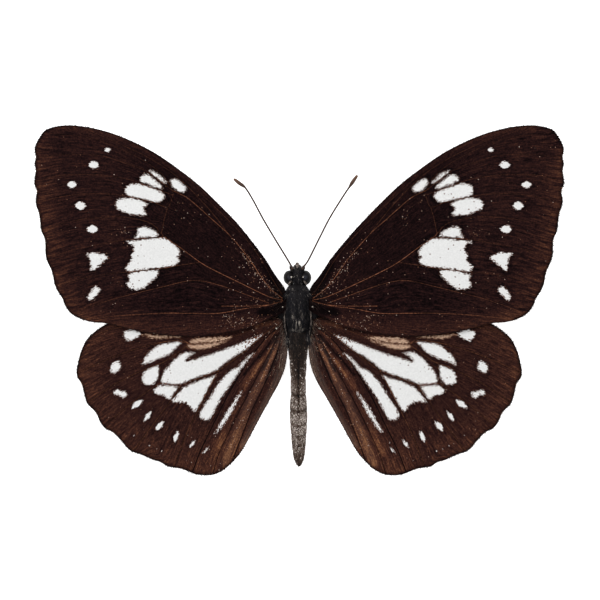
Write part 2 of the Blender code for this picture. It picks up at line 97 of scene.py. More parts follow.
# White patches and dots, and the cream streaks that the forewing half covers
FORE_WHITE = {
    "band_front_long": [(30.5, 16.3), (29.9, 16.9), (28.5, 17.1), (26.9, 16.9), (25.7, 16.4),
        (25.2, 15.9), (25.9, 15.5), (25.7, 14.9), (25.4, 14.3), (26.2, 14.2), (28.2, 14.4), (29.5, 14.9),
        (30.4, 15.4)],
    "band_front_wide": [(29.0, 18.4), (28.5, 19.2), (27.5, 19.5), (26.5, 19.4), (24.9, 18.9),
        (23.5, 18.4), (22.7, 17.9), (22.4, 17.3), (23.0, 16.6), (23.9, 16.4), (25.5, 16.8), (27.0, 17.1),
        (28.5, 17.5)],
    "band_front_upper": [(26.5, 20.4), (26.0, 20.9), (25.2, 21.0), (24.4, 20.4), (23.4, 19.6),
        (22.7, 18.9), (22.9, 18.6), (23.9, 18.9), (25.2, 19.4), (26.4, 19.9)],
    "band_front_sliver": [(25.0, 21.6), (24.4, 21.6), (23.5, 21.1), (22.7, 20.4), (22.0, 19.8),
        (22.4, 19.6), (23.2, 20.0), (24.0, 20.7), (24.9, 21.4)],
    "cell_spot": [(21.4, 20.1), (20.9, 20.3), (20.2, 20.1), (19.5, 19.5), (18.9, 18.9), (18.9, 18.3),
        (19.4, 18.1), (20.2, 18.3), (21.0, 18.9), (21.4, 19.6)],
    "band_middle_upper": [(26.9, 12.0), (26.0, 12.3), (25.0, 12.1), (24.0, 11.6), (23.4, 10.8),
        (24.9, 10.6), (26.5, 10.5), (27.4, 10.4), (26.9, 11.3)],
    "band_middle_large": [(28.7, 9.9), (26.5, 10.1), (24.0, 10.4), (22.5, 10.4), (21.5, 9.9), (20.5, 9.1),
        (19.9, 8.3), (19.9, 7.6), (20.4, 7.3), (19.9, 6.8), (20.4, 6.1), (21.5, 5.7), (23.2, 5.5),
        (25.7, 5.2), (28.2, 4.9), (28.9, 5.4), (28.4, 6.1), (27.9, 6.8), (28.0, 7.6), (27.5, 8.4),
        (27.7, 9.2), (28.4, 9.6)],
    "band_middle_lower": [(28.4, 4.4), (26.5, 4.9), (24.9, 5.1), (23.5, 5.0), (23.7, 4.1), (24.7, 3.1),
        (25.7, 2.3), (26.4, 1.9), (27.7, 1.9), (28.5, 2.3), (28.7, 2.9), (28.2, 3.4), (28.5, 4.1)],
    "edge_triangle": [(35.4, 7.8), (34.0, 8.0), (32.7, 7.8), (31.7, 7.2), (32.4, 6.6), (33.2, 5.9),
        (33.9, 5.2), (34.6, 5.0), (34.7, 6.1), (34.9, 7.0)],
    "edge_lowest": [(33.9, 2.4), (33.1, 2.0), (33.3, 1.4), (34.0, 0.6), (34.7, 0.0), (35.2, 0.4),
        (34.9, 1.3), (34.4, 1.9)],
}
FORE_DOTS = {
    "edge_1": (31.9, 25.1, 0.5, 0.4), "edge_2": (34.2, 22.6, 0.88, 0.65),
    "edge_3": (37.8, 19.3, 0.87, 0.58), "edge_4": (36.4, 15.8, 0.93, 0.7),
    "edge_5": (34.4, 11.9, 0.97, 0.68),
}
HIND_WHITE = {
    "cell": [(6.0, -5.6), (7.4, -6.1), (9.9, -7.1), (12.4, -8.1), (14.9, -9.0), (16.5, -9.45),
        (18.1, -9.95), (19.0, -10.15), (18.3, -9.2), (17.4, -8.75), (19.0, -8.6), (19.9, -9.1),
        (20.7, -9.7), (21.5, -10.6), (22.4, -11.6), (22.9, -12.7), (23.0, -13.6), (21.5, -13.9),
        (19.9, -13.9), (18.2, -13.2), (16.5, -12.6), (14.0, -11.7), (12.4, -10.4), (10.7, -9.2),
        (9.0, -8.2), (7.4, -6.9), (6.0, -5.7)],
    "below_cell": [(13.9, -12.5), (15.2, -12.9), (17.4, -13.6), (19.4, -14.6), (20.5, -15.9),
        (21.2, -16.9), (19.9, -16.9), (19.0, -17.0), (18.2, -17.7), (17.7, -18.4), (17.2, -18.2),
        (16.2, -16.6), (15.2, -14.7), (14.4, -13.2)],
    "beyond_cell_3": [(20.5, -14.3), (23.0, -14.1), (23.9, -14.6), (24.4, -15.0), (23.7, -15.6),
        (22.7, -15.8), (21.9, -16.4), (21.4, -16.2), (20.9, -15.4), (20.3, -14.5)],
    "beyond_cell_2": [(23.5, -10.8), (24.5, -11.1), (25.7, -11.7), (26.2, -12.9), (26.1, -13.6),
        (25.4, -14.0), (24.5, -14.0), (23.9, -13.4), (23.5, -12.6), (23.4, -11.6)],
    "beyond_cell_1": [(20.0, -6.8), (21.5, -7.0), (23.2, -7.3), (24.5, -8.2), (25.5, -9.2), (26.2, -10.7),
        (24.9, -10.2), (23.2, -9.6), (21.5, -8.8), (20.4, -7.7), (19.7, -7.0)],
    "long_streak": [(9.0, -9.7), (10.2, -11.1), (11.5, -11.7), (12.9, -13.1), (13.9, -14.4),
        (14.9, -16.1), (16.0, -17.7), (16.7, -19.2), (15.9, -19.9), (14.9, -19.7), (13.9, -17.9),
        (12.9, -16.1), (11.5, -14.1), (10.2, -12.2), (8.9, -10.4), (7.4, -8.7)],
    "thin_streak": [(9.9, -15.4), (11.0, -16.9), (12.2, -18.7), (13.5, -21.1), (14.0, -22.1),
        (13.0, -21.2), (11.9, -19.6), (11.0, -18.1), (10.2, -16.4), (9.5, -15.2)],
    "edge_1": [(29.2, -5.2), (28.5, -4.9), (27.4, -4.9), (26.4, -5.4), (27.0, -6.1), (27.9, -6.6),
        (28.7, -6.6), (29.2, -5.9)],
    "edge_2": [(30.0, -10.1), (29.7, -11.1), (30.2, -11.7), (30.9, -12.1), (31.4, -11.6), (31.3, -10.6),
        (30.5, -10.1)],
    "edge_3": [(30.2, -14.8), (29.7, -15.1), (29.0, -15.1), (28.7, -15.7), (29.2, -16.2), (29.7, -16.1),
        (30.2, -15.7), (30.9, -15.6), (30.9, -15.1)],
}
HIND_TAN = {
    "front_streak": [(18.2, -6.6), (16.5, -6.2), (14.0, -6.1), (11.2, -6.0), (12.4, -6.5), (14.9, -6.9),
        (16.5, -7.1), (18.0, -7.1)],
    "second_streak": [(18.4, -7.4), (16.5, -7.3), (14.0, -7.0), (11.9, -6.6), (13.2, -7.2), (15.7, -8.0),
        (17.4, -8.1), (18.4, -7.8)],
    "outer_streak": [(26.5, -5.6), (24.9, -5.7), (22.4, -5.8), (19.5, -6.0), (21.5, -6.2), (23.2, -6.3),
        (24.5, -6.2)],
}
HIND_SPINDLES = {
    "edge_4": (27.9, -17.9, 26.2, -16.6, 0.5), "edge_5": (25.9, -20.1, 24.6, -18.4, 0.37),
    "edge_6": (24.0, -21.7, 22.7, -20.2, 0.47), "edge_7": (20.9, -23.6, 20.2, -21.7, 0.42),
    "edge_8": (18.3, -24.5, 17.4, -23.4, 0.28), "edge_9": (16.1, -25.6, 15.2, -24.5, 0.2),
}
HIND_FLECKS = [
    (29.0, -20.9), (27.6, -22.5), (25.0, -24.2), (23.9, -24.8), (22.9, -25.1), (21.9, -25.6),
    (19.0, -26.6), (15.1, -23.7),
]
FLECK_RADIUS = 0.11
FAR_OUTSIDE = 1.2
# Distances from a wing's root, and how bare or how much thinner its veins are drawn there
VEIN_BARE = (0, 12, 24, 40), (1.0, 0.85, 0.5, 0.35)
VEIN_THIN = (0, 6, 15, 40), (1.6, 1.4, 1.25, 1.35)

# Dusted places of the forewing: middle, half widths, and how much
FORE_DUST = [
    ((29.8, 11.3), (2.2, 1.2), 0.3), ((18.5, 15.0), (3.4, 3.4), 0.06), ((20.2, 16.4), (0.35, 0.3), 1.5),
    ((9.5, -3.6), (5.5, 1.6), 0.3), ((12.0, -2.6), (2.2, 0.25), 0.6),
]

# Body cross-sections from front to back: forward, half width, lowest, highest
THORAX_SECTIONS = [
    (2.75, 0.95, 2.9, 4.9), (2.45, 1.5, 2.1, 5.35), (1.9, 1.85, 1.2, 5.75), (1.1, 2.15, 0.3, 6.1),
    (0.0, 2.3, -0.3, 6.4), (-1.4, 2.3, -0.45, 6.5), (-2.7, 2.25, -0.35, 6.3), (-3.8, 2.05, 0.25, 5.9),
    (-4.6, 1.8, 0.95, 5.4), (-5.1, 1.4, 1.6, 4.9),
]
HEAD_SECTIONS = [
    (5.65, 0.3, 3.4, 4.1), (5.4, 0.7, 2.9, 4.6), (4.9, 0.95, 2.6, 5.0), (4.0, 1.05, 2.5, 5.2),
    (3.3, 1.0, 2.7, 5.0), (2.85, 0.7, 3.1, 4.6),
]
# Pale tufts of the head on each side: outward, forward, up, radius, how pale
HEAD_TUFTS = [(0.98, 4.3, 4.95, 0.24, 1.0), (0.98, 3.3, 4.6, 0.34, 0.5)]
# Abdomen: how far back, half width and height of the middle at each joint, then the tip
ABDOMEN_JOINTS = [
    (5.2, 1.5, 3.3), (7.1, 1.7, 3.2), (9.9, 1.4, 3.0), (12.7, 1.22, 2.75), (15.5, 1.24, 2.45),
    (18.2, 1.42, 2.15), (20.5, 1.38, 1.85), (22.3, 1.25, 1.6), (24.1, 1.1, 1.4), (25.4, 0.99, 1.2),
    (26.6, 0.76, 1.12), (27.45, 0.38, 1.08),
]
# How far back, and how pale the abdomen is there
ABDOMEN_PALE = (5, 8.5, 11, 14, 17, 21, 25, 27.4), (0.0, 0.06, 0.19, 0.47, 0.62, 0.73, 0.5, 0.34)
ABDOMEN_DEPTH = 1.04
ABDOMEN_TIP_FROM = 8
LEG_TINT = 0.2
HORN_RING_DEPTH, HORN_SIDES = 0.12, 12
ROW_RATIO, FILL_JITTER = 0.87, 0.05
EYE_CENTRE, EYE_RADII = (1.31, 3.86, 3.95), (1.02, 1.22, 1.25)
ANTENNA_LINES = {
    "left": [(-1.12, 5.3, 4.6), (-1.35, 5.8, 4.95), (-1.9, 6.8, 5.3), (-3.8, 9.9, 5.7), (-6.0, 13.6, 6.1),
        (-7.6, 16.6, 6.4), (-8.9, 18.7, 6.6), (-9.9, 19.5, 6.6), (-10.9, 20.3, 6.5)],
    "right": [(0.5, 5.3, 4.6), (0.85, 5.8, 4.95), (1.6, 6.9, 5.3), (3.4, 10.5, 5.7), (5.1, 13.8, 6.1),
        (7.2, 17.2, 6.4), (8.4, 19.0, 6.6), (9.0, 19.9, 6.6), (9.7, 20.9, 6.5)],
}
PALP_LINE = [(0.44, 5.3, 2.3), (0.46, 5.85, 2.8), (0.38, 6.05, 3.5), (0.28, 6.2, 4.25)]
FORELEG_LINE = [(0.95, 2.75, 1.5), (1.25, 3.6, 1.3), (1.4, 3.2, 0.75), (1.3, 2.2, 0.4),
    (1.2, 1.4, 0.25)]
MIDLEG_LINE = [(1.8, -0.3, 0.42), (2.7, 0.4, 1.0), (4.0, 1.1, 1.6), (4.9, -0.4, 1.05),
    (5.4, -2.1, 0.35), (5.2, -4.2, 0.12), (4.7, -6.6, 0.12)]
HINDLEG_LINE = [(1.8, -2.7, 0.42), (2.7, -3.3, 1.0), (3.9, -4.0, 1.6), (4.3, -6.0, 1.0),
    (4.4, -8.2, 0.35), (4.0, -10.0, 0.12), (3.5, -11.9, 0.12)]
FORELEG_RADII = (0.16, 0.2, 0.17, 0.13, 0.08)
LEG_RADII = (0.2, 0.26, 0.22, 0.15, 0.13, 0.11, 0.09)


class Side(Enum):
    """The two sides of the specimen, as the sign of X there."""

    LEFT = -1
    RIGHT = 1

    @property
    def word(self) -> str:
        """The side's name as the solids spell it."""
        return self.name.lower()


class Strand(Enum):
    """What a coat is made of."""

    HAIR = "a bent hair that stands on its root"
    SCALE = "a flat scale that lies along the surface"


@dataclass(frozen=True)
class Vein:
    """One vein or fold line of a wing.

    Args:
        number: its place, counted from the front edge backwards.
        line: its points from the root or fork outwards.
        ridge: how far it stands proud, in mm; negative where the membrane is pleated down.
        copper: how bare it is of dark scales, from 0 to 1, so that brown horn shows.
        dark: how black a line it draws, from 0 to 1.
    """

    number: float
    line: Line
    ridge: float = 0.08
    copper: float = 0.3
    dark: float = 0.25


@dataclass(frozen=True)
class Band:
    """A lengthwise zone of a wing that is lighter, darker, greyer or more dusted than its ground, or
    painted shade at the root.
    """

    line: Line
    half_width: float
    tone: float = 0.0
    grey: float = 0.0
    speck: float = 0.0


FORE_VEINS = [
    Vein(1, [(3.0, 1.0), (5.5, 5.8), (8.5, 9.9), (11.9, 13.5), (16.5, 17.9), (21.9, 22.4), (26.5, 25.4),
        (31.0, 27.7)], 0.09, 0.16),
    Vein(2, [(11.2, 10.4), (14.4, 14.5), (16.9, 17.3), (20.5, 20.8), (24.9, 23.7), (29.9, 26.1),
        (35.5, 28.6)], 0.06, 0.3),
    Vein(3.3, [(3.0, 0.4), (5.7, 3.3), (8.2, 6.9), (11.5, 10.8), (14.9, 13.9), (18.2, 16.8), (19.9, 17.8),
        (21.2, 18.4)], 0.11, 0.85),
    Vein(3.4, [(21.2, 18.4), (21.9, 19.9), (23.2, 21.4), (25.4, 23.0), (28.5, 24.7), (31.9, 26.2),
        (36.2, 27.3), (42.4, 27.9)], 0.06, 0.22),
    Vein(4.2, [(21.2, 18.4), (23.5, 20.2), (25.0, 21.3), (26.7, 22.1), (30.7, 23.5), (32.4, 24.0),
        (34.9, 24.3), (39.5, 24.3), (43.7, 23.9)], 0.06, 0.3),
    Vein(5, [(21.2, 18.4), (21.0, 17.6), (22.4, 18.1), (25.4, 19.1), (28.5, 20.2), (33.2, 20.9),
        (36.5, 21.0), (39.9, 20.8), (43.9, 19.9)], 0.06, 0.34),
    Vein(6, [(21.0, 17.6), (21.9, 15.6), (24.0, 16.3), (25.7, 16.7), (29.5, 17.5), (32.4, 17.8),
        (36.5, 17.7), (39.9, 17.2), (43.6, 16.3)], 0.06, 0.36),
    Vein(7, [(21.9, 15.6), (22.5, 13.4), (23.0, 11.3), (23.9, 12.3), (25.5, 13.2), (29.0, 13.9),
        (32.4, 13.9), (35.7, 13.6), (39.5, 12.8), (42.9, 11.7)], 0.06, 0.36),
    Vein(8, [(3.0, 0.1), (5.2, 0.8), (9.9, 3.0), (14.0, 5.0), (16.5, 6.4), (19.9, 8.9), (22.4, 10.6),
        (23.0, 11.3)], 0.11, 1.0),
    Vein(8.2, [(22.4, 10.6), (25.7, 10.4), (29.0, 10.1), (33.5, 9.3), (37.9, 8.4), (42.0, 7.0)], 0.06,
        0.34),
    Vein(9, [(16.5, 6.4), (19.9, 5.9), (23.5, 5.3), (28.2, 4.8), (32.4, 4.4), (36.5, 3.6), (40.5, 2.4)],
        0.06, 0.3),
    Vein(10, [(4.9, -0.4), (8.5, 0.9), (12.4, 2.3), (15.7, 3.2), (18.5, 3.3), (22.4, 2.4), (26.5, 1.4),
        (31.5, 0.1), (36.5, -1.7)], -0.1, 0.5),
    Vein(10.6, [(5.0, -0.7), (8.5, -0.9), (13.0, -0.9)], 0.0, 0.75),
    Vein(11, [(3.0, -0.1), (5.2, -0.8), (9.5, -1.4), (13.5, -2.1), (18.2, -2.1), (23.2, -2.1),
        (29.9, -2.5), (35.9, -3.2)], 0.08, 0.8),
]
HIND_VEINS = [
    Vein(1, [(3.2, -3.1), (6.2, -2.4), (9.9, -2.0), (14.0, -1.8), (18.2, -2.0), (23.2, -2.6),
        (28.2, -3.5), (33.5, -4.8)], 0.08, 0.2),
    Vein(2, [(3.4, -3.4), (7.4, -4.7), (11.2, -6.1), (14.5, -6.9), (18.2, -7.2)], 0.08, 0.25, 0.6),
    Vein(2.4, [(18.2, -7.2), (20.2, -6.2), (23.2, -5.1), (27.4, -4.4), (31.2, -4.7), (35.2, -6.3)], 0.06,
        0.6, 0.6),
    Vein(3.3, [(18.2, -7.2), (20.7, -6.7), (23.2, -7.0), (27.4, -8.1), (31.5, -9.6), (34.5, -10.9),
        (37.0, -12.1)], 0.06, 0.6, 0.9),
    Vein(4.3, [(18.2, -7.2), (19.9, -8.4), (22.4, -10.1), (25.2, -11.2), (28.2, -12.6), (31.5, -14.4),
        (35.4, -17.1)], 0.06, 0.55, 0.95),
    Vein(5, [(22.4, -10.1), (23.1, -11.1), (23.3, -12.4), (23.2, -13.8)], 0.05, 0.2, 0.9),
    Vein(5.5, [(19.7, -14.1), (21.5, -14.0), (23.2, -13.8), (25.7, -15.4), (29.0, -17.9), (32.6, -21.0)],
        0.06, 0.55, 0.95),
    Vein(6.6, [(3.4, -4.0), (5.7, -5.6), (9.0, -8.4), (12.2, -10.8), (13.4, -11.6), (17.9, -13.4),
        (19.7, -14.1)], 0.1, 0.35, 0.95),
    Vein(6.7, [(19.7, -14.1), (21.2, -16.3), (23.7, -19.7), (26.4, -23.4), (27.7, -25.2)], 0.07, 0.6,
        1.0),
    Vein(7.6, [(13.4, -11.6), (15.0, -14.5), (17.0, -18.5), (18.8, -22.2), (21.0, -27.8)], 0.07, 0.6,
        1.0),
    Vein(8.6, [(3.4, -4.4), (6.2, -7.1), (9.2, -11.2), (11.9, -15.7), (14.2, -20.4), (16.4, -24.9),
        (17.9, -28.7)], -0.18, 0.0, 1.0),
    Vein(9.5, [(3.2, -4.7), (4.1, -7.2), (6.1, -11.0), (8.1, -14.8), (10.1, -18.6), (11.9, -22.3),
        (13.5, -25.8), (14.5, -29.1)], -0.22, 0.0, 0.75),
    Vein(10.5, [(3.0, -5.2), (3.6, -8.2), (4.6, -11.2), (6.0, -14.6), (7.8, -18.2), (9.4, -22.2),
        (11.1, -26.6)], -0.2, 0.0, 0.9),
    Vein(11.2, [(2.9, -7.6), (3.3, -10.6), (4.3, -14.2), (5.9, -17.4), (7.6, -20.4), (9.2, -23.6)], 0.0,
        0.0, 0.4),
]
FORE_BANDS = [
    # Painted shade: dark along the inner margin by the root, where the body and the hind wing shade it
    Band([(2.6, -1.0), (4.2, -1.7), (6.2, -2.0)], 1.0, -0.36, 0.0, -0.1),
    Band([(2.6, 0.6), (3.4, 1.6), (5.6, 5.6)], 0.9, -0.2),
    Band([(3.1, 0.5), (5.7, 3.4), (8.2, 7.0), (10.5, 9.8)], 0.2, 0.05, 0.0, 0.4),
    Band([(3.5, 0.6), (5.3, 2.5), (7.2, 4.7), (9.6, 8.0)], 0.28, 0.05, 0.0, 0.55),
]
HIND_BANDS = [
    # Painted shade: black by the root, in the shadow between the body and the front wing
    Band([(2.6, -2.2), (4.2, -2.8), (5.6, -2.8)], 0.6, -0.5, 0.0, -0.1),
    Band([(3.8, -3.6), (5.2, -3.8), (7.0, -4.2)], 0.7, 0.22, 0.0, 0.05),
    Band([(3.8, -5.0), (5.0, -6.0), (6.8, -8.5), (8.2, -9.9), (9.2, -11.0)], 0.42, 0.22, 0.0, 0.05),
    Band([(3.7, -5.9), (4.6, -7.0), (6.4, -9.1), (7.8, -10.7), (9.2, -12.4)], 0.34, -0.34),
    Band([(4.0, -7.2), (4.9, -8.2), (5.8, -9.6), (6.8, -10.9), (7.9, -12.6)], 0.34, 0.16, 0.0, 0.12),
    Band([(3.7, -6.8), (4.2, -7.9), (4.7, -8.9), (5.4, -10.4), (6.1, -11.7)], 0.28, -0.4),
    Band([(3.9, -8.1), (4.3, -9.5), (4.9, -10.4), (5.4, -11.8), (6.2, -13.4)], 0.32, 0.2, 0.0, 0.16),
    Band([(3.5, -8.2), (4.0, -9.9), (4.6, -11.4), (5.5, -13.6)], 0.2, -0.34),
    Band([(3.6, -6.8), (4.5, -9.2), (6.0, -12.8), (7.8, -16.2), (9.5, -20.0), (11.2, -24.0),
        (12.4, -27.2)], 1.05, 0.22, 0.1),
    Band([(6.6, -14.0), (8.6, -18.0), (10.4, -21.9), (11.4, -24.4)], 0.42, 0.12, 0.1, 0.2),
    Band([(3.6, -7.0), (4.9, -10.2), (6.4, -13.4)], 0.3, 0.14, 0.0, 0.26),
    Band([(4.4, -7.4), (6.9, -11.3), (9.2, -14.6)], 0.32, 0.12, 0.0, 0.24),
    Band([(6.4, -10.2), (8.6, -13.4), (10.4, -17.2), (12.2, -21.2), (13.9, -25.4)], 1.0, 0.22),
    Band([(8.3, -18.9), (9.8, -22.6), (11.0, -25.6)], 0.22, 0.16, 0.0, 0.16),
    Band([(2.3, -8.0), (2.8, -10.6), (3.7, -13.6), (5.3, -17.0), (7.2, -20.6), (9.2, -24.2)], 0.95, 0.24,
        0.34),
    Band([(2.3, -5.4), (2.6, -8.4), (2.9, -10.8)], 0.9, 0.06, 0.42),
]


# Points and lines


def linear(colour: str) -> tuple[float, ...]:
    """Turns an sRGB hex colour to linear light.

    Args:
        colour: a hash sign and six hex digits.

    Returns:
        Linear red, green and blue, and full alpha.
    """
    parts = [int(colour[i:i + 2], 16) / 255 for i in (1, 3, 5)]
    return (*(c / 12.92 if c <= 0.04045 else ((c + 0.055) / 1.055) ** 2.4 for c in parts), 1.0)


def spline(points: Line, step: float, closed: bool = False) -> Array:
    """A smooth line through points.

    Args:
        points: the points that it passes through, of any dimension.
        step: the greatest length of one stretch of it, in mm.
        closed: whether it comes back to its first point.

    Returns:
        One row a point.
    """
    knots = np.array(points, float)
    count = len(knots)
    ends = np.vstack([2 * knots[0] - knots[1], knots, 2 * knots[-1] - knots[-2]])
    stretches = []
    for i in range(count if closed else count - 1):
        if closed:
            p0, p1, p2, p3 = (knots[(i + k) % count] for k in (-1, 0, 1, 2))
        else:
            p0, p1, p2, p3 = ends[i:i + 4]
        steps = max(1, math.ceil(np.linalg.norm(p2 - p1) / step))
        t = (np.arange(steps) / steps)[:, None]
        curve = 2 * p1 + (p2 - p0) * t + (2 * p0 - 5 * p1 + 4 * p2 - p3) * t**2
        stretches.append((curve + (3 * p1 - p0 - 3 * p2 + p3) * t**3) / 2)
    if not closed:
        stretches.append(knots[-1:])
    return np.vstack(stretches)


def to_line(points: Array, line: Array) -> tuple[Array, Array]:
    """Measures points against a run of straight stretches.

    Args:
        points: one (x, y) row each.
        line: the run's own points.

    Returns:
        The distance to it, and how far along it the nearest place is, both in mm.
    """
    gap = np.full(len(points), np.inf)
    along = np.zeros(len(points))
    run = 0.0
    for start, end in zip(line[:-1], line[1:]):
        stretch = end - start
        length = np.hypot(*stretch)
        share = np.clip((points - start) @ stretch / max(length**2, 1e-12), 0, 1)
        away = points - start - share[:, None] * stretch
        far = np.hypot(away[:, 0], away[:, 1])
        nearer = far < gap
        gap[nearer] = far[nearer]
        along[nearer] = run + share[nearer] * length
        run += length
    return gap, along


def inside(points: Array, outline: Array) -> Array:
    """Whether each point lies within a closed outline."""
    crossings = np.zeros(len(points), int)
    for start, end in zip(outline, np.roll(outline, -1, axis=0)):
        spans = (start[1] > points[:, 1]) != (end[1] > points[:, 1])
        rise = end[1] - start[1] if abs(end[1] - start[1]) > 1e-12 else 1e-12
        at = start[0] + (points[:, 1] - start[1]) / rise * (end[0] - start[0])
        crossings += spans & (at > points[:, 0])
    return crossings % 2 == 1


def patch_depth(points: Array, outline: Line, reach: float = FAR_OUTSIDE) -> Array:
    """How deep points lie inside a patch, in mm, and below zero outside it.

    Args:
        points: one (x, y) row each.
        outline: the patch's own outline.
        reach: how far outside it still counts.

    Returns:
        One value a point, never under minus the reach.
    """
    ring = spline(outline, 0.25, closed=True)
    depth = np.full(len(points), -reach)
    near = np.all((points > ring.min(axis=0) - reach) & (points < ring.max(axis=0) + reach), axis=1)
    gap, _ = to_line(points[near], np.vstack([ring, ring[:1]]))
    depth[near] = np.where(inside(points[near], ring), gap, -gap)
    return np.maximum(depth, -reach)


def rounded(across: Array, along: Array, power: float) -> Array:
    """Distance from a middle, round where the power is 2 and pointed like a lozenge at 1."""
    return (np.abs(across) ** power + np.abs(along) ** power) ** (1 / power)


def spindle_depth(points: Array, ends: tuple[float, ...]) -> Array:
    """The same for a small spindle, given as two ends and a half width."""
    start, end = np.array(ends[:4]).reshape(2, 2)
    half = np.hypot(*(end - start)) / 2
    along = (end - start) / (2 * half)
    away = points - (start + end) / 2
    lengthwise, across = away @ along, away @ (-along[1], along[0])
    out = rounded(lengthwise / (half + 0.3 * ends[4]), across / ends[4], 1.3)
    return np.maximum(ends[4] * (1 - out), -FAR_OUTSIDE)


def dot_depth(points: Array, dot: tuple[float, ...]) -> Array:
    """The same for an oval dot, given as its middle and its two half widths."""
    out = rounded((points[:, 0] - dot[0]) / dot[2], (points[:, 1] - dot[1]) / dot[3], 1.55)
    return np.maximum(min(dot[2:]) * (1 - out), -FAR_OUTSIDE)


def fade(values: Array, start: float, end: float) -> Array:
    """A smooth step from 0 at start to 1 at end, whichever of the two is greater."""
    share = np.clip((values - start) / (end - start), 0, 1)
    return share * share * (3 - 2 * share)


def lean(corners: Array) -> Array:
    """Shifts corners with the body, which has dried a little to the left."""
    out = np.clip(1 - (np.abs(corners[:, 0]) - ROOT_OUT) / LEAN_FADE, 0, 1)
    moved = corners.copy()
    moved[:, 0] += (LEAN_MIDDLE + LEAN_SLOPE * corners[:, 1]) * out
    return moved


def setting_plane(outward: Array) -> Array:
    """Height of the plane that both wings are set to."""
    reach = outward - ROOT_OUT
    return PLANE_ROOT_HEIGHT + PLANE_RISE * reach - PLANE_RISE_FADE * reach**2


# Meshes


def make_object(name: str, corners: Array, faces: list, paint: dict[str, Array] | None = None,
                material: bpy.types.Material | None = None, turn_out: bool = True,
                edges: list | None = None) -> Piece:
    """Makes a smooth mesh object at the origin.

    Args:
        name: the piece's name.
        corners: one (x, y, z) row each, in mm.
        faces: corner numbers of each face.
        paint: values at each corner by attribute name, one number or three each.
        material: what it is made of.
        turn_out: whether the faces still have to be turned outwards.
        edges: corner numbers of each edge of a mesh without faces.

    Returns:
        The new object, linked to the scene.
    """
    mesh = bpy.data.meshes.new(name)
    mesh.from_pydata((corners * MM).tolist(), edges or [], faces)
    if turn_out:
        work = bmesh.new()
        work.from_mesh(mesh)
        bmesh.ops.recalc_face_normals(work, faces=work.faces)
        work.to_mesh(mesh)
        work.free()
    for key, values in (paint or {}).items():
        kind, field_name = ("FLOAT_VECTOR", "vector") if values.ndim == 2 else ("FLOAT", "value")
        layer = mesh.attributes.new(key, kind, "POINT")
        layer.data.foreach_set(field_name, values.astype(np.float32).ravel())
    mesh.shade_smooth()
    if material:
        mesh.materials.append(material)
    piece = bpy.data.objects.new(name, mesh)
    bpy.context.scene.collection.objects.link(piece)
    return piece


def loft(rings: Array) -> tuple[Array, list]:
    """A closed skin over equal rings, each end fanned to the middle of its last ring.

    Args:
        rings: points by ring, place in the ring and axis.

    Returns:
        The corners, ring after ring and then the two middles, and the faces.
    """
    count, sides = rings.shape[:2]
    corners = np.vstack([rings.reshape(-1, 3), rings[0].mean(axis=0), rings[-1].mean(axis=0)])
    faces = []
    for k in range(sides):
        j = (k + 1) % sides
        for i in range(count - 1):
            near, far = i * sides, (i + 1) * sides
            faces.append((near + k, near + j, far + j, far + k))
        faces.append((j, k, count * sides))
        last = (count - 1) * sides
        faces.append((last + k, last + j, count * sides + 1))
    return corners, faces


def unit_ball(sides: int, rows: int, tip: float) -> tuple[Array, list]:
    """The corners and faces of a ball of radius 1 with its poles fore and aft.

    Args:
        sides: corners in a ring.
        rows: how many rings there are.
        tip: the angle from a pole to its nearest ring.

    Returns:
        The corners and the faces.
    """
    turn, rise = np.meshgrid(np.linspace(0, math.tau, sides, endpoint=False),
                             np.linspace(tip, math.pi - tip, rows))
    return loft(np.stack([np.sin(rise) * np.cos(turn), np.cos(rise), np.sin(rise) * np.sin(turn)], axis=2))


def oval_rings(sections: Array, sides: int) -> Array:
    """Upright oval rings of the body from (forward, half width, low, high) rows."""
    turn = math.tau * (np.arange(sides) + 0.5) / sides
    forward, half, low, high = (sections[:, i][:, None] for i in range(4))
    across, up = half * np.cos(turn), (low + high) / 2 + (high - low) / 2 * np.sin(turn)
    return np.stack([across, np.broadcast_to(forward, across.shape), up], axis=2)


def tube(line: Array, radii: Array, sides: int) -> tuple[Array, list, Array]:
    """A closed tube along a line.

    Args:
        line: its middle points.
        radii: its radius at each of them.
        sides: how many corners a ring has.

    Returns:
        The corners, the faces, and at each corner the direction towards the tip.
    """
    ahead = np.gradient(line, axis=0)
    ahead /= np.linalg.norm(ahead, axis=1)[:, None]
    across = np.cross(ahead[0], (0.0, 0.0, 1.0))
    rings = []
    for point, forward, radius in zip(line, ahead, radii):
        across = across - forward * across.dot(forward)
        across /= np.linalg.norm(across)
        other = np.cross(forward, across)
        turn = math.tau * (np.arange(sides) + 0.5) / sides
        rings.append(point + radius * (np.outer(np.cos(turn), across) + np.outer(np.sin(turn), other)))
    corners, faces = loft(np.array(rings))
    combed = np.vstack([np.repeat(ahead, sides, axis=0), ahead[:1], ahead[-1:]])
    return corners, faces, combed


def mirrored(line: Line, side: Side) -> Line:
    """A line of the right side, on the given side."""
    return [(side.value * x, y, z) for x, y, z in line]


# Nodes


def feed(tree: Tree, node: Node, feeds: dict) -> None:
    """Sets or links inputs of a node.

    Args:
        tree: the tree that the node is in.
        node: the node.
        feeds: for an input's number, name or identifier, a constant, a socket, or a node
            whose first used output is meant.
    """
    for key, value in feeds.items():
        used = [s for s in node.inputs if s.enabled and key in (s.name, s.identifier)]
        socket = node.inputs[key] if isinstance(key, int) else used[0]
        if isinstance(value, Node):
            value = next(s for s in value.outputs if s.enabled)
        if isinstance(value, Socket):
            tree.links.new(value, socket)
        else:
            socket.default_value = value


def add_node(tree: Tree, kind: str, feeds: dict | None = None, **settings: object) -> Node:
    """Adds a node with its settings and links.

    Args:
        tree: the tree it goes into.
        kind: its Blender type.
        feeds: its inputs, as for feed.
        settings: the node's own properties.

    Returns:
        The new node.
    """
    node = tree.nodes.new(kind)
    for key, value in settings.items():
        setattr(node, key, value)
    feed(tree, node, feeds or {})
    return node


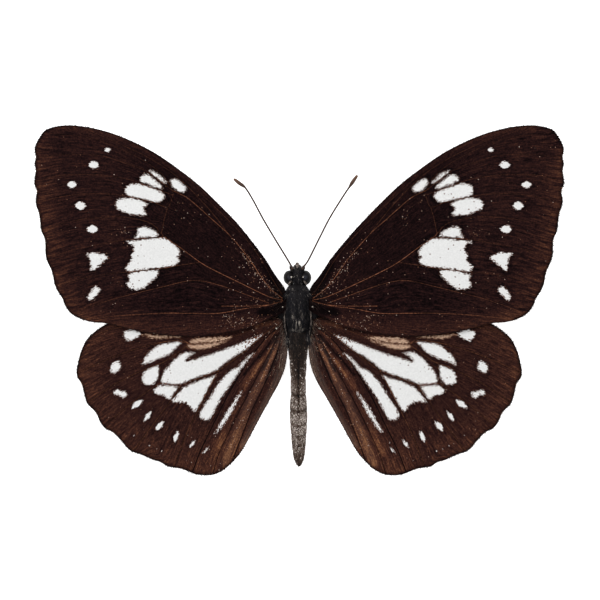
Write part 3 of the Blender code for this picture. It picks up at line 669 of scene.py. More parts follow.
def group_tree(name: str, inputs: list[tuple[str, str, object]]) -> tuple:
    """Starts a Geometry Nodes tree with named inputs.

    Args:
        name: the tree's name.
        inputs: name, socket type and first value of each input after the geometry.

    Returns:
        The tree, the sockets that its inputs come in by, and its output node.
    """
    tree = bpy.data.node_groups.new(name, "GeometryNodeTree")
    tree.interface.new_socket("Geometry", in_out="OUTPUT", socket_type="NodeSocketGeometry")
    tree.interface.new_socket("Geometry", in_out="INPUT", socket_type="NodeSocketGeometry")
    for label, kind, value in inputs:
        socket = tree.interface.new_socket(label, in_out="INPUT", socket_type=kind)
        if value is not None:
            socket.default_value = value
    return tree, add_node(tree, "NodeGroupInput").outputs, add_node(tree, "NodeGroupOutput")


def grow(name: str, base: Piece, tree: Tree, inputs: dict[str, object], drop_base: bool = False) -> Piece:
    """Runs a Geometry Nodes tree over a mesh and keeps the outcome as a plain mesh.

    Args:
        name: the new piece's name.
        base: the object whose mesh goes in.
        tree: the tree.
        inputs: a value for each of its named inputs.
        drop_base: whether the base object is only a pattern and goes afterwards.

    Returns:
        The new object.
    """
    holder = bpy.data.objects.new(f"{name}_base", base.data)
    bpy.context.scene.collection.objects.link(holder)
    modifier = holder.modifiers.new("growth", "NODES")
    modifier.node_group = tree
    for item in tree.interface.items_tree:
        if item.in_out == "INPUT" and item.name in inputs:
            modifier[item.identifier] = inputs[item.name]
    graph = bpy.context.evaluated_depsgraph_get()
    mesh = bpy.data.meshes.new_from_object(holder.evaluated_get(graph), depsgraph=graph)
    mesh.name = name
    piece = bpy.data.objects.new(name, mesh)
    bpy.context.scene.collection.objects.link(piece)
    holder.modifiers.clear()
    bpy.data.objects.remove(holder)
    if drop_base:
        bpy.data.objects.remove(base)
    return piece


def draw_horn(name: str, word: str, line: Array, thickness: Array, tint: Array, spacing: float,
              step: float, finish: "Finish") -> Piece:
    """Draws a ringed horn along a line of points.

    Args:
        name: what the horn belongs to.
        word: what the piece is called after that.
        line: its points, in mm.
        thickness: its radius at each of them, in mm.
        tint: how pale it is at each of them.
        spacing: from one of its rings to the next, in mm.
        step: the length of one stretch of its mesh, in mm.
        finish: what it is made of.

    Returns:
        The new object.
    """
    edges = [(i, i + 1) for i in range(len(line) - 1)]
    pattern = make_object(f"{name}_line", line, [], {"thickness": thickness * MM, "tint": tint},
                          turn_out=False, edges=edges)
    return grow(f"{name}_{word}", pattern, bpy.data.node_groups["ringed_horn"], {
        "Ring Spacing": spacing * MM, "Ring Depth": HORN_RING_DEPTH, "Step": step * MM,
        "Sides": HORN_SIDES, "Finish": finish.material()}, drop_base=True)


def strand_tree(strand: Strand) -> Tree:
    """Geometry Nodes that cover a surface with hairs or scales.

    The surface carries, at each corner, where they grow (an attribute named by the input
    Where), which way they lie (comb) and how pale they are (tint).

    Args:
        strand: what grows.

    Returns:
        The tree.
    """
    tree, given, out = group_tree(f"{strand.name.lower()}_coat", [
        ("Where", "NodeSocketString", "coat"), ("Density", "NodeSocketFloat", 1.0),
        ("Length", "NodeSocketFloat", 1.0), ("Slimness", "NodeSocketFloat", 0.05),
        ("Lift", "NodeSocketFloat", 0.3), ("Spread", "NodeSocketFloat", 0.3),
        ("Seed", "NodeSocketInt", 1), ("Finish", "NodeSocketMaterial", None)])
    add = partial(add_node, tree)
    where = add("GeometryNodeInputNamedAttribute", {"Name": given["Where"]})
    thick = add("ShaderNodeMath", {0: where, 1: given["Density"]}, operation="MULTIPLY")
    roots = add("GeometryNodeDistributePointsOnFaces", {
        "Mesh": given["Geometry"], "Density": thick, "Seed": given["Seed"]})
    comb = add("GeometryNodeInputNamedAttribute", {"Name": "comb"}, data_type="FLOAT_VECTOR")
    stray = add("FunctionNodeRandomValue", {
        0: (-1.0, -1.0, -1.0), 1: (1.0, 1.0, 1.0), "Seed": given["Seed"]}, data_type="FLOAT_VECTOR")
    strayed = add("ShaderNodeVectorMath", {0: stray, "Scale": given["Spread"]}, operation="SCALE")
    raised = add("ShaderNodeVectorMath", {
        0: roots.outputs["Normal"], "Scale": given["Lift"]}, operation="SCALE")
    leaning = add("ShaderNodeVectorMath", {0: comb, 1: raised}, operation="ADD")
    way = add("ShaderNodeVectorMath", {0: leaning, 1: strayed}, operation="ADD")
    pointed = add("FunctionNodeAlignRotationToVector", {"Vector": way}, axis="Z")
    turned = add("FunctionNodeAlignRotationToVector", {
        "Rotation": pointed, "Vector": roots.outputs["Normal"]}, axis="Y", pivot_axis="Z")
    tone = add("FunctionNodeRandomValue", {2: 0.0, 3: 1.0, "Seed": given["Seed"]}, data_type="FLOAT")
    toned = add("GeometryNodeStoreNamedAttribute", {
        "Geometry": roots.outputs["Points"], "Name": "strand", "Value": tone},
        data_type="FLOAT", domain="POINT")
    size = add("FunctionNodeRandomValue", {2: 0.62, 3: 1.2, "Seed": given["Seed"]}, data_type="FLOAT")
    sized = add("ShaderNodeMath", {0: size, 1: given["Length"]}, operation="MULTIPLY")
    wide = add("ShaderNodeMath", {0: sized, 1: given["Slimness"]}, operation="MULTIPLY")
    if strand is Strand.HAIR:
        bow = add("GeometryNodeCurveQuadraticBezier", {
            "Resolution": 3, "Start": (0, 0, 0), "Middle": (0, 0.12, 0.55), "End": (0, -0.16, 1.0)})
        done = add("GeometryNodeSplineParameter")
        taper = add("ShaderNodeMath", {0: done, 1: -0.8, 2: 1.0}, operation="MULTIPLY_ADD")
        narrow = add("ShaderNodeMath", {0: taper, 1: given["Slimness"]}, operation="MULTIPLY")
        round_ = add("GeometryNodeCurvePrimitiveCircle", {"Resolution": 3, "Radius": 1.0})
        shape = add("GeometryNodeCurveToMesh", {
            "Curve": bow, "Profile Curve": round_, "Scale": narrow, "Fill Caps": True})
        scale = add("ShaderNodeCombineXYZ", {0: sized, 1: sized, 2: sized})
    else:
        seed_ = add("GeometryNodeMeshUVSphere", {"Segments": 4, "Rings": 3, "Radius": 0.5})
        shape = add("GeometryNodeTransform", {
            "Geometry": seed_.outputs["Mesh"], "Translation": (0, 0, 0.45)})
        flat = add("ShaderNodeMath", {0: sized, 1: 0.12}, operation="MULTIPLY")
        scale = add("ShaderNodeCombineXYZ", {0: wide, 1: flat, 2: sized})
    grown = add("GeometryNodeInstanceOnPoints", {
        "Points": toned, "Instance": shape, "Rotation": turned, "Scale": scale})
    real = add("GeometryNodeRealizeInstances", {"Geometry": grown})
    smooth = add("GeometryNodeSetShadeSmooth", {"Geometry": real})
    finished = add("GeometryNodeSetMaterial", {"Geometry": smooth, "Material": given["Finish"]})
    feed(tree, out, {0: finished})
    return tree


def ringed_tree() -> Tree:
    """Geometry Nodes that draw a ringed horn along a line of points with a radius each."""
    tree, given, out = group_tree("ringed_horn", [
        ("Ring Spacing", "NodeSocketFloat", 0.001), ("Ring Depth", "NodeSocketFloat", 0.1),
        ("Step", "NodeSocketFloat", 0.001), ("Sides", "NodeSocketInt", 8),
        ("Finish", "NodeSocketMaterial", None)])
    add = partial(add_node, tree)
    path = add("GeometryNodeMeshToCurve", {"Mesh": given["Geometry"]})
    even = add("GeometryNodeResampleCurve", {"Curve": path, "Length": given["Step"]}, mode="LENGTH")
    place = add("GeometryNodeSplineParameter")
    turns = add("ShaderNodeMath", {
        0: place.outputs["Length"], 1: given["Ring Spacing"]}, operation="DIVIDE")
    within = add("ShaderNodeMath", {0: turns}, operation="FRACT")
    swell = add("ShaderNodeMath", {0: within, 1: given["Ring Depth"], 2: 1.0}, operation="MULTIPLY_ADD")
    thickness = add("GeometryNodeInputNamedAttribute", {"Name": "thickness"})
    radius = add("ShaderNodeMath", {0: thickness, 1: swell}, operation="MULTIPLY")
    ring = add("GeometryNodeStoreNamedAttribute", {
        "Geometry": even, "Name": "ring", "Value": within}, data_type="FLOAT", domain="POINT")
    round_ = add("GeometryNodeCurvePrimitiveCircle", {"Resolution": given["Sides"], "Radius": 1.0})
    horn = add("GeometryNodeCurveToMesh", {
        "Curve": ring, "Profile Curve": round_, "Scale": radius, "Fill Caps": True})
    real = add("GeometryNodeRealizeInstances", {"Geometry": horn})
    smooth = add("GeometryNodeSetShadeSmooth", {"Geometry": real})
    finished = add("GeometryNodeSetMaterial", {"Geometry": smooth, "Material": given["Finish"]})
    feed(tree, out, {0: finished})
    return tree


# Finishes


@dataclass(frozen=True)
class Finish:
    """A procedural material: its name, gloss and node recipe."""

    name: str
    roughness: float
    specular: float

    def material(self) -> bpy.types.Material:
        """The Blender material, made the first time that it is asked for."""
        found = bpy.data.materials.get(self.name)
        if found:
            return found
        made = bpy.data.materials.new(self.name)
        made.use_nodes = True
        shader = made.node_tree.nodes["Principled BSDF"]
        feed(made.node_tree, shader, {"Roughness": self.roughness, "Specular IOR Level": self.specular})
        self.paint(made.node_tree, shader)
        return made

    def paint(self, tree: Tree, shader: Node) -> None:
        """Links the recipe's nodes to the shader.

        Args:
            tree: the material's tree.
            shader: its Principled BSDF.
        """
        raise NotImplementedError


def set_ramp(node: Node, stops: tuple[tuple[float, str], ...]) -> Node:
    """Gives a colour ramp its stops, as places from 0 to 1 and hex colours."""
    ramp = node.color_ramp
    while len(ramp.elements) < len(stops):
        ramp.elements.new(0.5)
    for element, (place, colour) in zip(ramp.elements, stops):
        element.position = place
        element.color = linear(colour)
    return node


@dataclass(frozen=True)
class WingScales(Finish):
    """Dust-fine chitin scales in overlapping rows over the wing membrane.

    Each scale is a matt ridged plate, so the wing is velvety and nearly black where they are
    brown, chalky where they are white, and coppery where veins show through worn rows. Real
    scales are 0.05 mm wide; they are drawn 0.17 mm wide, so that they show.
    """

    scale_width: float = 0.17
    speck_width: float = 0.2
    relief: float = 0.03
    streak: tuple[float, float] = (0.3, 2.6)
    fine_streak: tuple[float, float] = (0.7, 6.5)
    teeth: tuple[float, float] = (1.6, 6.5)
    browns: tuple[tuple[float, str], ...] = (
        (0.0, "#080405"), (0.25, "#201112"), (0.5, "#38201B"), (0.75, "#543325"), (1.0, "#80543E"))
    white: str = "#EBEBEA"
    cream: str = "#D2B298"
    horn: str = "#8C583F"
    rust: str = "#7E4E38"
    black: str = "#080405"
    grey: str = "#5E5550"
    dull_speck: str = "#96694F"
    bright_speck: str = "#FBE3D2"

    def paint(self, tree: Tree, shader: Node) -> None:
        """Lays tone, lines, patches and specks over one another."""
        add = partial(add_node, tree)
        grain = add("ShaderNodeAttribute", attribute_name="grain").outputs["Vector"]
        place = add("ShaderNodeTexCoord").outputs["Object"]
        layers = {key: add("ShaderNodeAttribute", attribute_name=key).outputs["Fac"]
            for key in ("tone", "streaky", "gap", "white", "cream", "dusk", "horn", "line", "margin",
                        "grey", "speck")}
        noises = []
        for along, across in (self.streak, self.fine_streak, self.teeth):
            drawn = add("ShaderNodeVectorMath", {0: grain, 1: (along, across, 1.0)}, operation="MULTIPLY")
            noises.append(add("ShaderNodeTexNoise", {
                "Vector": drawn, "Scale": 1.0, "Detail": 2.0, "Roughness": 0.6}))
        streak, fine, teeth = noises
        mosaic = add("ShaderNodeTexVoronoi", {"Vector": place, "Scale": 1 / (self.scale_width * MM)})
        shade = add("ShaderNodeSeparateColor", {"Color": mosaic.outputs["Color"]})
        drawn = add("ShaderNodeMath", {0: streak, 1: 0.5}, operation="SUBTRACT")
        tone = add("ShaderNodeMath", {0: drawn, 1: layers["streaky"], 2: layers["tone"]},
                   operation="MULTIPLY_ADD")
        for source, share in ((fine, 0.9), (shade, 0.26)):
            tone = add("ShaderNodeMath", {0: source, 1: share, 2: tone}, operation="MULTIPLY_ADD")
        tone = add("ShaderNodeMath", {0: tone, 1: 0.58}, operation="SUBTRACT")
        colour = set_ramp(add("ShaderNodeValToRGB", {"Fac": tone}), self.browns)
        colour = add("ShaderNodeMix", {
            "Factor": layers["grey"], "A": colour, "B": linear(self.grey)}, data_type="RGBA")
        wavy = add("ShaderNodeMath", {0: fine, 1: 0.06, 2: layers["gap"]}, operation="MULTIPLY_ADD")
        worn = add("ShaderNodeMapRange", {
            "Value": streak, "From Min": 0.36, "From Max": 0.56, "To Min": 0.4})
        for key, tint, near, far in (("line", self.black, 0.1, 0.21), ("horn", self.horn, 0.06, 0.115)):
            close = add("ShaderNodeMapRange", {"Value": wavy, "From Min": far, "From Max": near})
            bare = add("ShaderNodeMath", {
                0: layers[key], 1: worn if key == "horn" else 1.0}, operation="MULTIPLY")
            much = add("ShaderNodeMath", {0: close, 1: bare}, operation="MULTIPLY")
            bead = add("ShaderNodeMapRange", {"Value": shade, "To Min": 0.45, "To Max": 1.9})
            beaded = add("ShaderNodeVectorMath", {0: linear(tint)[:3], "Scale": bead}, operation="SCALE")
            colour = add("ShaderNodeMix", {"Factor": much, "A": colour, "B": beaded}, data_type="RGBA")
        off_vein = add("ShaderNodeMapRange", {"Value": wavy, "From Min": 0.09, "From Max": 0.15})
        colour = self.specks(tree, place, layers["speck"], colour)
        for key, tint, reach, lively in (
                ("cream", self.cream, 1.2, (0.8, 1.2)), ("white", self.white, 1.3, (0.93, 1.04))):
            edge = add("ShaderNodeMath", {0: teeth, 1: reach, 2: layers[key]}, operation="MULTIPLY_ADD")
            edge = add("ShaderNodeMath", {0: shade, 1: 0.22, 2: edge}, operation="MULTIPLY_ADD")
            rust = add("ShaderNodeMapRange", {
                "Value": edge, "From Min": reach / 2 - 0.02, "From Max": reach / 2 + 0.2, "To Max": 0.7})
            colour = add("ShaderNodeMix", {
                "Factor": rust, "A": colour, "B": linear(self.rust)}, data_type="RGBA")
            inside_ = add("ShaderNodeMapRange", {
                "Value": edge, "From Min": reach / 2 + 0.1, "From Max": reach / 2 + 0.28})
            if key == "cream":
                lined = add("ShaderNodeMapRange", {
                    "Value": fine, "From Min": 0.36, "From Max": 0.54, "To Min": 0.15})
                inside_ = add("ShaderNodeMath", {0: inside_, 1: lined}, operation="MULTIPLY")
            else:
                inside_ = add("ShaderNodeMath", {0: inside_, 1: off_vein}, operation="MULTIPLY")
                white_cell = add("ShaderNodeMath", {0: shade, 1: layers["dusk"]}, operation="GREATER_THAN")
                inside_ = add("ShaderNodeMath", {0: inside_, 1: white_cell}, operation="MULTIPLY")
            lit = add("ShaderNodeMapRange", {"Value": shade, "To Min": lively[0], "To Max": lively[1]})
            tinted = add("ShaderNodeVectorMath", {0: linear(tint)[:3], "Scale": lit}, operation="SCALE")
            colour = add("ShaderNodeMix", {"Factor": inside_, "A": colour, "B": tinted}, data_type="RGBA")
        rim = add("ShaderNodeMapRange", {
            "Value": layers["margin"], "From Min": 0.6, "From Max": 0.12, "To Max": 0.75})
        colour = add("ShaderNodeMix", {
            "Factor": rim, "A": colour, "B": linear(self.black)}, data_type="RGBA")
        relief = add("ShaderNodeMath", {0: shade, 1: 0.5, 2: fine}, operation="MULTIPLY_ADD")
        bump = add("ShaderNodeBump", {"Height": relief, "Strength": 0.5, "Distance": self.relief * MM})
        feed(tree, shader, {"Base Color": colour, "Normal": bump})

    def specks(self, tree: Tree, place: Socket, often: Socket, below: Node) -> Node:
        """Scatters single pale scales over the brown ones.

        Args:
            tree: the material's tree.
            place: object coordinates.
            often: the share of cells that hold a speck.
            below: the colour so far.

        Returns:
            The node with the speckled colour.
        """
        add = partial(add_node, tree)
        cells = add("ShaderNodeTexVoronoi", {"Vector": place, "Scale": 1 / (self.speck_width * MM)})
        dice = add("ShaderNodeSeparateColor", {"Color": cells.outputs["Color"]})
        chosen = add("ShaderNodeMath", {0: dice, 1: often}, operation="LESS_THAN")
        small = add("ShaderNodeMapRange", {
            "Value": cells.outputs["Distance"], "From Min": 0.36, "From Max": 0.22})
        spot = add("ShaderNodeMath", {0: chosen, 1: small}, operation="MULTIPLY")
        gleam = add("ShaderNodeMath", {0: dice.outputs["Green"], 1: 3.2}, operation="POWER")
        tinted = add("ShaderNodeMix", {
            "Factor": gleam, "A": linear(self.dull_speck), "B": linear(self.bright_speck)},
            data_type="RGBA")
        return add("ShaderNodeMix", {"Factor": spot, "A": below, "B": tinted}, data_type="RGBA")


@dataclass(frozen=True)
class Strands(Finish):
    """Chitin hairs or scales of the coat, dull, each a little lighter or darker than the next."""

    colours: tuple[tuple[float, str], ...] = ((0.0, "#120F10"), (1.0, "#D8C9B4"))
    variety: float = 0.4
    clump: float = 0.45

    def paint(self, tree: Tree, shader: Node) -> None:
        """Colours each strand by its paleness and its own chance value."""
        add = partial(add_node, tree)
        tint = add("ShaderNodeAttribute", attribute_name="tint").outputs["Fac"]
        chance = add("ShaderNodeAttribute", attribute_name="strand").outputs["Fac"]
        place = add("ShaderNodeTexCoord").outputs["Object"]
        clumps = add("ShaderNodeTexNoise", {"Vector": place, "Scale": 1 / (self.clump * MM), "Detail": 1.0})
        change = add("ShaderNodeMath", {0: clumps, 1: 3.0, 2: chance}, operation="MULTIPLY_ADD")
        change = add("ShaderNodeMath", {0: change, 1: 2.0}, operation="SUBTRACT")
        room = add("ShaderNodeMath", {0: tint, 1: self.variety, 2: 0.2 * self.variety},
                   operation="MULTIPLY_ADD")
        tone = add("ShaderNodeMath", {0: change, 1: room, 2: tint}, operation="MULTIPLY_ADD")
        rare = add("ShaderNodeMath", {0: chance, 1: 0.97}, operation="GREATER_THAN")
        rare = add("ShaderNodeMath", {0: rare, 1: room}, operation="MULTIPLY")
        tone = add("ShaderNodeMath", {0: rare, 1: 2.0, 2: tone}, operation="MULTIPLY_ADD")
        ramp = set_ramp(add("ShaderNodeValToRGB", {"Fac": tone}), self.colours)
        feed(tree, shader, {"Base Color": ramp})


@dataclass(frozen=True)
class Cuticle(Finish):
    """Bare chitin skin under the coat or on a horn: hard, a little glossy, finely pitted."""

    dark: str = "#1B1718"
    light: str = "#3A302C"
    pit: float = 0.3
    relief: float = 0.03

    def paint(self, tree: Tree, shader: Node) -> None:
        """Mottles the skin and pits it."""
        add = partial(add_node, tree)
        place = add("ShaderNodeTexCoord").outputs["Object"]
        tint = add("ShaderNodeAttribute", attribute_name="tint").outputs["Fac"]
        mottle = add("ShaderNodeTexNoise", {
            "Vector": place, "Scale": 1 / (2 * self.pit * MM), "Detail": 3.0})
        much = add("ShaderNodeMath", {0: mottle, 1: 0.7, 2: tint}, operation="MULTIPLY_ADD", use_clamp=True)
        colour = add("ShaderNodeMix", {
            "Factor": much, "A": linear(self.dark), "B": linear(self.light)}, data_type="RGBA")
        pits = add("ShaderNodeTexVoronoi", {"Vector": place, "Scale": 1 / (self.pit * MM)})
        bump = add("ShaderNodeBump", {
            "Height": pits.outputs["Distance"], "Strength": 0.4, "Distance": self.relief * MM})
        feed(tree, shader, {"Base Color": colour, "Normal": bump})


@dataclass(frozen=True)
class EyeLens(Finish):
    """A compound eye: thousands of smooth lenses over dark pigment, dried to a soft gloss.

    Real lenses are 0.025 mm across; they are drawn 0.09 mm across, so that they show.
    """

    lens: float = 0.09
    coat: float = 0.04

    def paint(self, tree: Tree, shader: Node) -> None:
        """Draws the lenses and a painted bluish highlight on top of the eye."""
        add = partial(add_node, tree)
        place = add("ShaderNodeTexCoord").outputs["Object"]
        lenses = add("ShaderNodeTexVoronoi", {"Vector": place, "Scale": 1 / (self.lens * MM)})
        # Painted highlight: a mottled bluish sheen in the base colour, where the tint attribute marks the
        # top of the eye
        painted_sheen = add("ShaderNodeTexNoise", {"Vector": place, "Scale": 1 / (0.8 * MM), "Detail": 2.0})
        top = add("ShaderNodeAttribute", attribute_name="tint").outputs["Fac"]
        painted_sheen = add("ShaderNodeMath", {0: painted_sheen, 1: top}, operation="MULTIPLY")
        colour = set_ramp(add("ShaderNodeValToRGB", {"Fac": painted_sheen}),
                          ((0.0, "#060404"), (0.3, "#120F12"), (0.65, "#31323C")))
        bump = add("ShaderNodeBump", {
            "Height": lenses.outputs["Distance"], "Strength": 0.35, "Distance": 0.02 * MM}, invert=True)
        feed(tree, shader, {"Base Color": colour, "Normal": bump, "Coat Weight": self.coat,
                            "Coat Roughness": 0.15})


@dataclass(frozen=True)
class Horn(Finish):
    """Polished chitin horn in rings: antennae and tongue."""

    dark: str = "#191416"
    light: str = "#6B4A35"

    def paint(self, tree: Tree, shader: Node) -> None:
        """Darkens the horn between its rings and lightens it where its tint says so."""
        add = partial(add_node, tree)
        ring = add("ShaderNodeAttribute", attribute_name="ring").outputs["Fac"]
        tint = add("ShaderNodeAttribute", attribute_name="tint").outputs["Fac"]
        shade = add("ShaderNodeMath", {0: ring, 1: 0.25, 2: tint}, operation="MULTIPLY_ADD", use_clamp=True)
        place = add("ShaderNodeTexCoord").outputs["Object"]
        mottle = add("ShaderNodeTexNoise", {"Vector": place, "Scale": 1 / (0.25 * MM), "Detail": 2.0})
        varied = add("ShaderNodeMath", {0: mottle, 1: 0.3, 2: shade},
                     operation="MULTIPLY_ADD", use_clamp=True)
        colour = add("ShaderNodeMix", {
            "Factor": varied, "A": linear(self.dark), "B": linear(self.light)}, data_type="RGBA")
        feed(tree, shader, {"Base Color": colour})


@dataclass(frozen=True)
class StudioPaper(Finish):
    """Smooth white paper lit from below, which keeps the ground free of shadow."""

    glow: float = 0.9

    def paint(self, tree: Tree, shader: Node) -> None:
        """Gives the paper its fine tooth and its glow."""
        add = partial(add_node, tree)
        place = add("ShaderNodeTexCoord").outputs["Object"]
        tooth = add("ShaderNodeTexNoise", {"Vector": place, "Scale": 1 / (0.6 * MM)})
        bump = add("ShaderNodeBump", {"Height": tooth, "Strength": 0.1, "Distance": 0.02 * MM})
        feed(tree, shader, {
            "Base Color": linear("#F6F6F5"), "Normal": bump, "Emission Color": linear("#FFFFFF"),
            "Emission Strength": self.glow})


FOREWING_SCALES = WingScales("chitin_scales_forewing", 0.75, 0.02)
HINDWING_SCALES = WingScales(
    "chitin_scales_hindwing", 0.75, 0.02, browns=(
        (0.0, "#0E0707"), (0.25, "#261413"), (0.5, "#3C231D"), (0.75, "#5C3829"), (1.0, "#8E6040")))
BODY_HAIR = Strands("chitin_hair_body", 0.6, 0.12, colours=(
    (0.0, "#060607"), (0.25, "#27262B"), (0.55, "#6B645F"), (1.0, "#EFE4D6")), variety=0.4)
TAUPE_DOWN = Strands("chitin_down_taupe", 0.7, 0.08, colours=(
    (0.0, "#4A423F"), (0.5, "#8A7E76"), (1.0, "#C8BAAE")), variety=0.4)
WING_HAIR = Strands("chitin_hair_wing_root", 0.65, 0.1, colours=(
    (0.0, "#1A1110"), (0.3, "#382622"), (0.6, "#6E6058"), (1.0, "#C9B49D")))
STRAY_SCALES = Strands("chitin_scales_stray", 0.6, 0.1, colours=(
    (0.0, "#3A241D"), (0.45, "#8E6851"), (1.0, "#F0CFBA")), variety=1.2)
FRINGE_SCALES = Strands("chitin_scales_fringe", 0.7, 0.06, colours=(
    (0.0, "#0E0908"), (0.5, "#2A1A17"), (1.0, "#8A6B57")))
ABDOMEN_SCALES = Strands("chitin_scales_abdomen", 0.65, 0.12, colours=(
    (0.0, "#0B090A"), (0.3, "#3D2F28"), (0.55, "#6F5D52"), (0.75, "#978B84"), (1.0, "#E2D6CC")),
    variety=0.55, clump=0.25)
BODY_SKIN = Cuticle("chitin_skin_body", 0.6, 0.1, dark="#080607", light="#1D1A1C")
ABDOMEN_SKIN = Cuticle("chitin_skin_abdomen", 0.7, 0.05, dark="#0D0E10", light="#4E423B")
LEG_SKIN = Cuticle("chitin_skin_leg", 0.5, 0.3, dark="#1F1715", light="#4A372C", pit=0.12)
EYE_LENS = EyeLens("cornea_compound_eye", 0.4, 0.1)
ANTENNA_HORN = Horn("chitin_horn_antenna", 0.4, 0.3)
TONGUE_HORN = Horn("chitin_horn_tongue", 0.35, 0.4, dark="#3A1F12", light="#7A4B2A")
PAPER = StudioPaper("white_paper_floor", 0.9, 0.1)


# Coats


@dataclass(frozen=True)
class Coat:
    """Hairs or scales grown over a skin by Geometry Nodes.

    Args:
        name: the piece's name.
        strand: whether hairs or scales grow.
        finish: what they are made of.
        slot: the record's material slot.
        where: the skin's attribute that says where they grow, from 0 to 1.
        density: strands a square millimetre where that is 1.
        length: length of a strand, in mm.
        slimness: its radius, or a scale's width, as a share of the length.
        lift: how far it stands off the skin, from 0.
        spread: how far strands stray from their comb.
        seed: the chance seed.
    """

    name: str
    strand: Strand
    finish: Finish
    slot: str
    where: str = "coat"
    density: float = 40.0
    length: float = 0.7
    slimness: float = 0.04
    lift: float = 0.35
    spread: float = 0.25
    seed: int = 1

    def grow_on(self, skin: Piece) -> Piece:
        """Grows the coat and attaches it to the root.

        Args:
            skin: the piece under it, with its attributes.

        Returns:
            The coat's own object.
        """
        tree = bpy.data.node_groups.get(f"{self.strand.name.lower()}_coat")
        piece = grow(self.name, skin, tree or strand_tree(self.strand), {
            "Where": self.where, "Density": self.density / MM**2, "Length": self.length * MM,
            "Slimness": self.slimness, "Lift": self.lift, "Spread": self.spread,
            "Seed": self.seed, "Finish": self.finish.material()})
        return hand_in(piece, self.slot)


def hand_in(piece: Piece, slot: str, *nodes: str) -> Piece:
    """Attaches a finished piece to the root and hides the solids that it stands for.

    Args:
        piece: the finished piece.
        slot: the record's material slot; not used.
        nodes: the solids that it stands for.

    Returns:
        The same piece.
    """
    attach(piece, "root")
    if nodes:
        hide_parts(*nodes)
    LOG.info("%s: %d faces", piece.name, len(piece.data.polygons))
    return piece


# Wings


@dataclass
class WingSheet:
    """One wing drawn flat, for the right side.

    Args:
        points: (outward, forward) rows.
        triangles: point numbers, counter-clockwise from above.
        walls: the margin's edges, as ordered pairs of point numbers.
        middle: height of the membrane's middle at each point.
        half: half its thickness there.
        paint: painted values at each point, by attribute name.
    """

    points: Array
    triangles: Array
    walls: Array
    middle: Array
    half: Array
    paint: dict[str, Array]


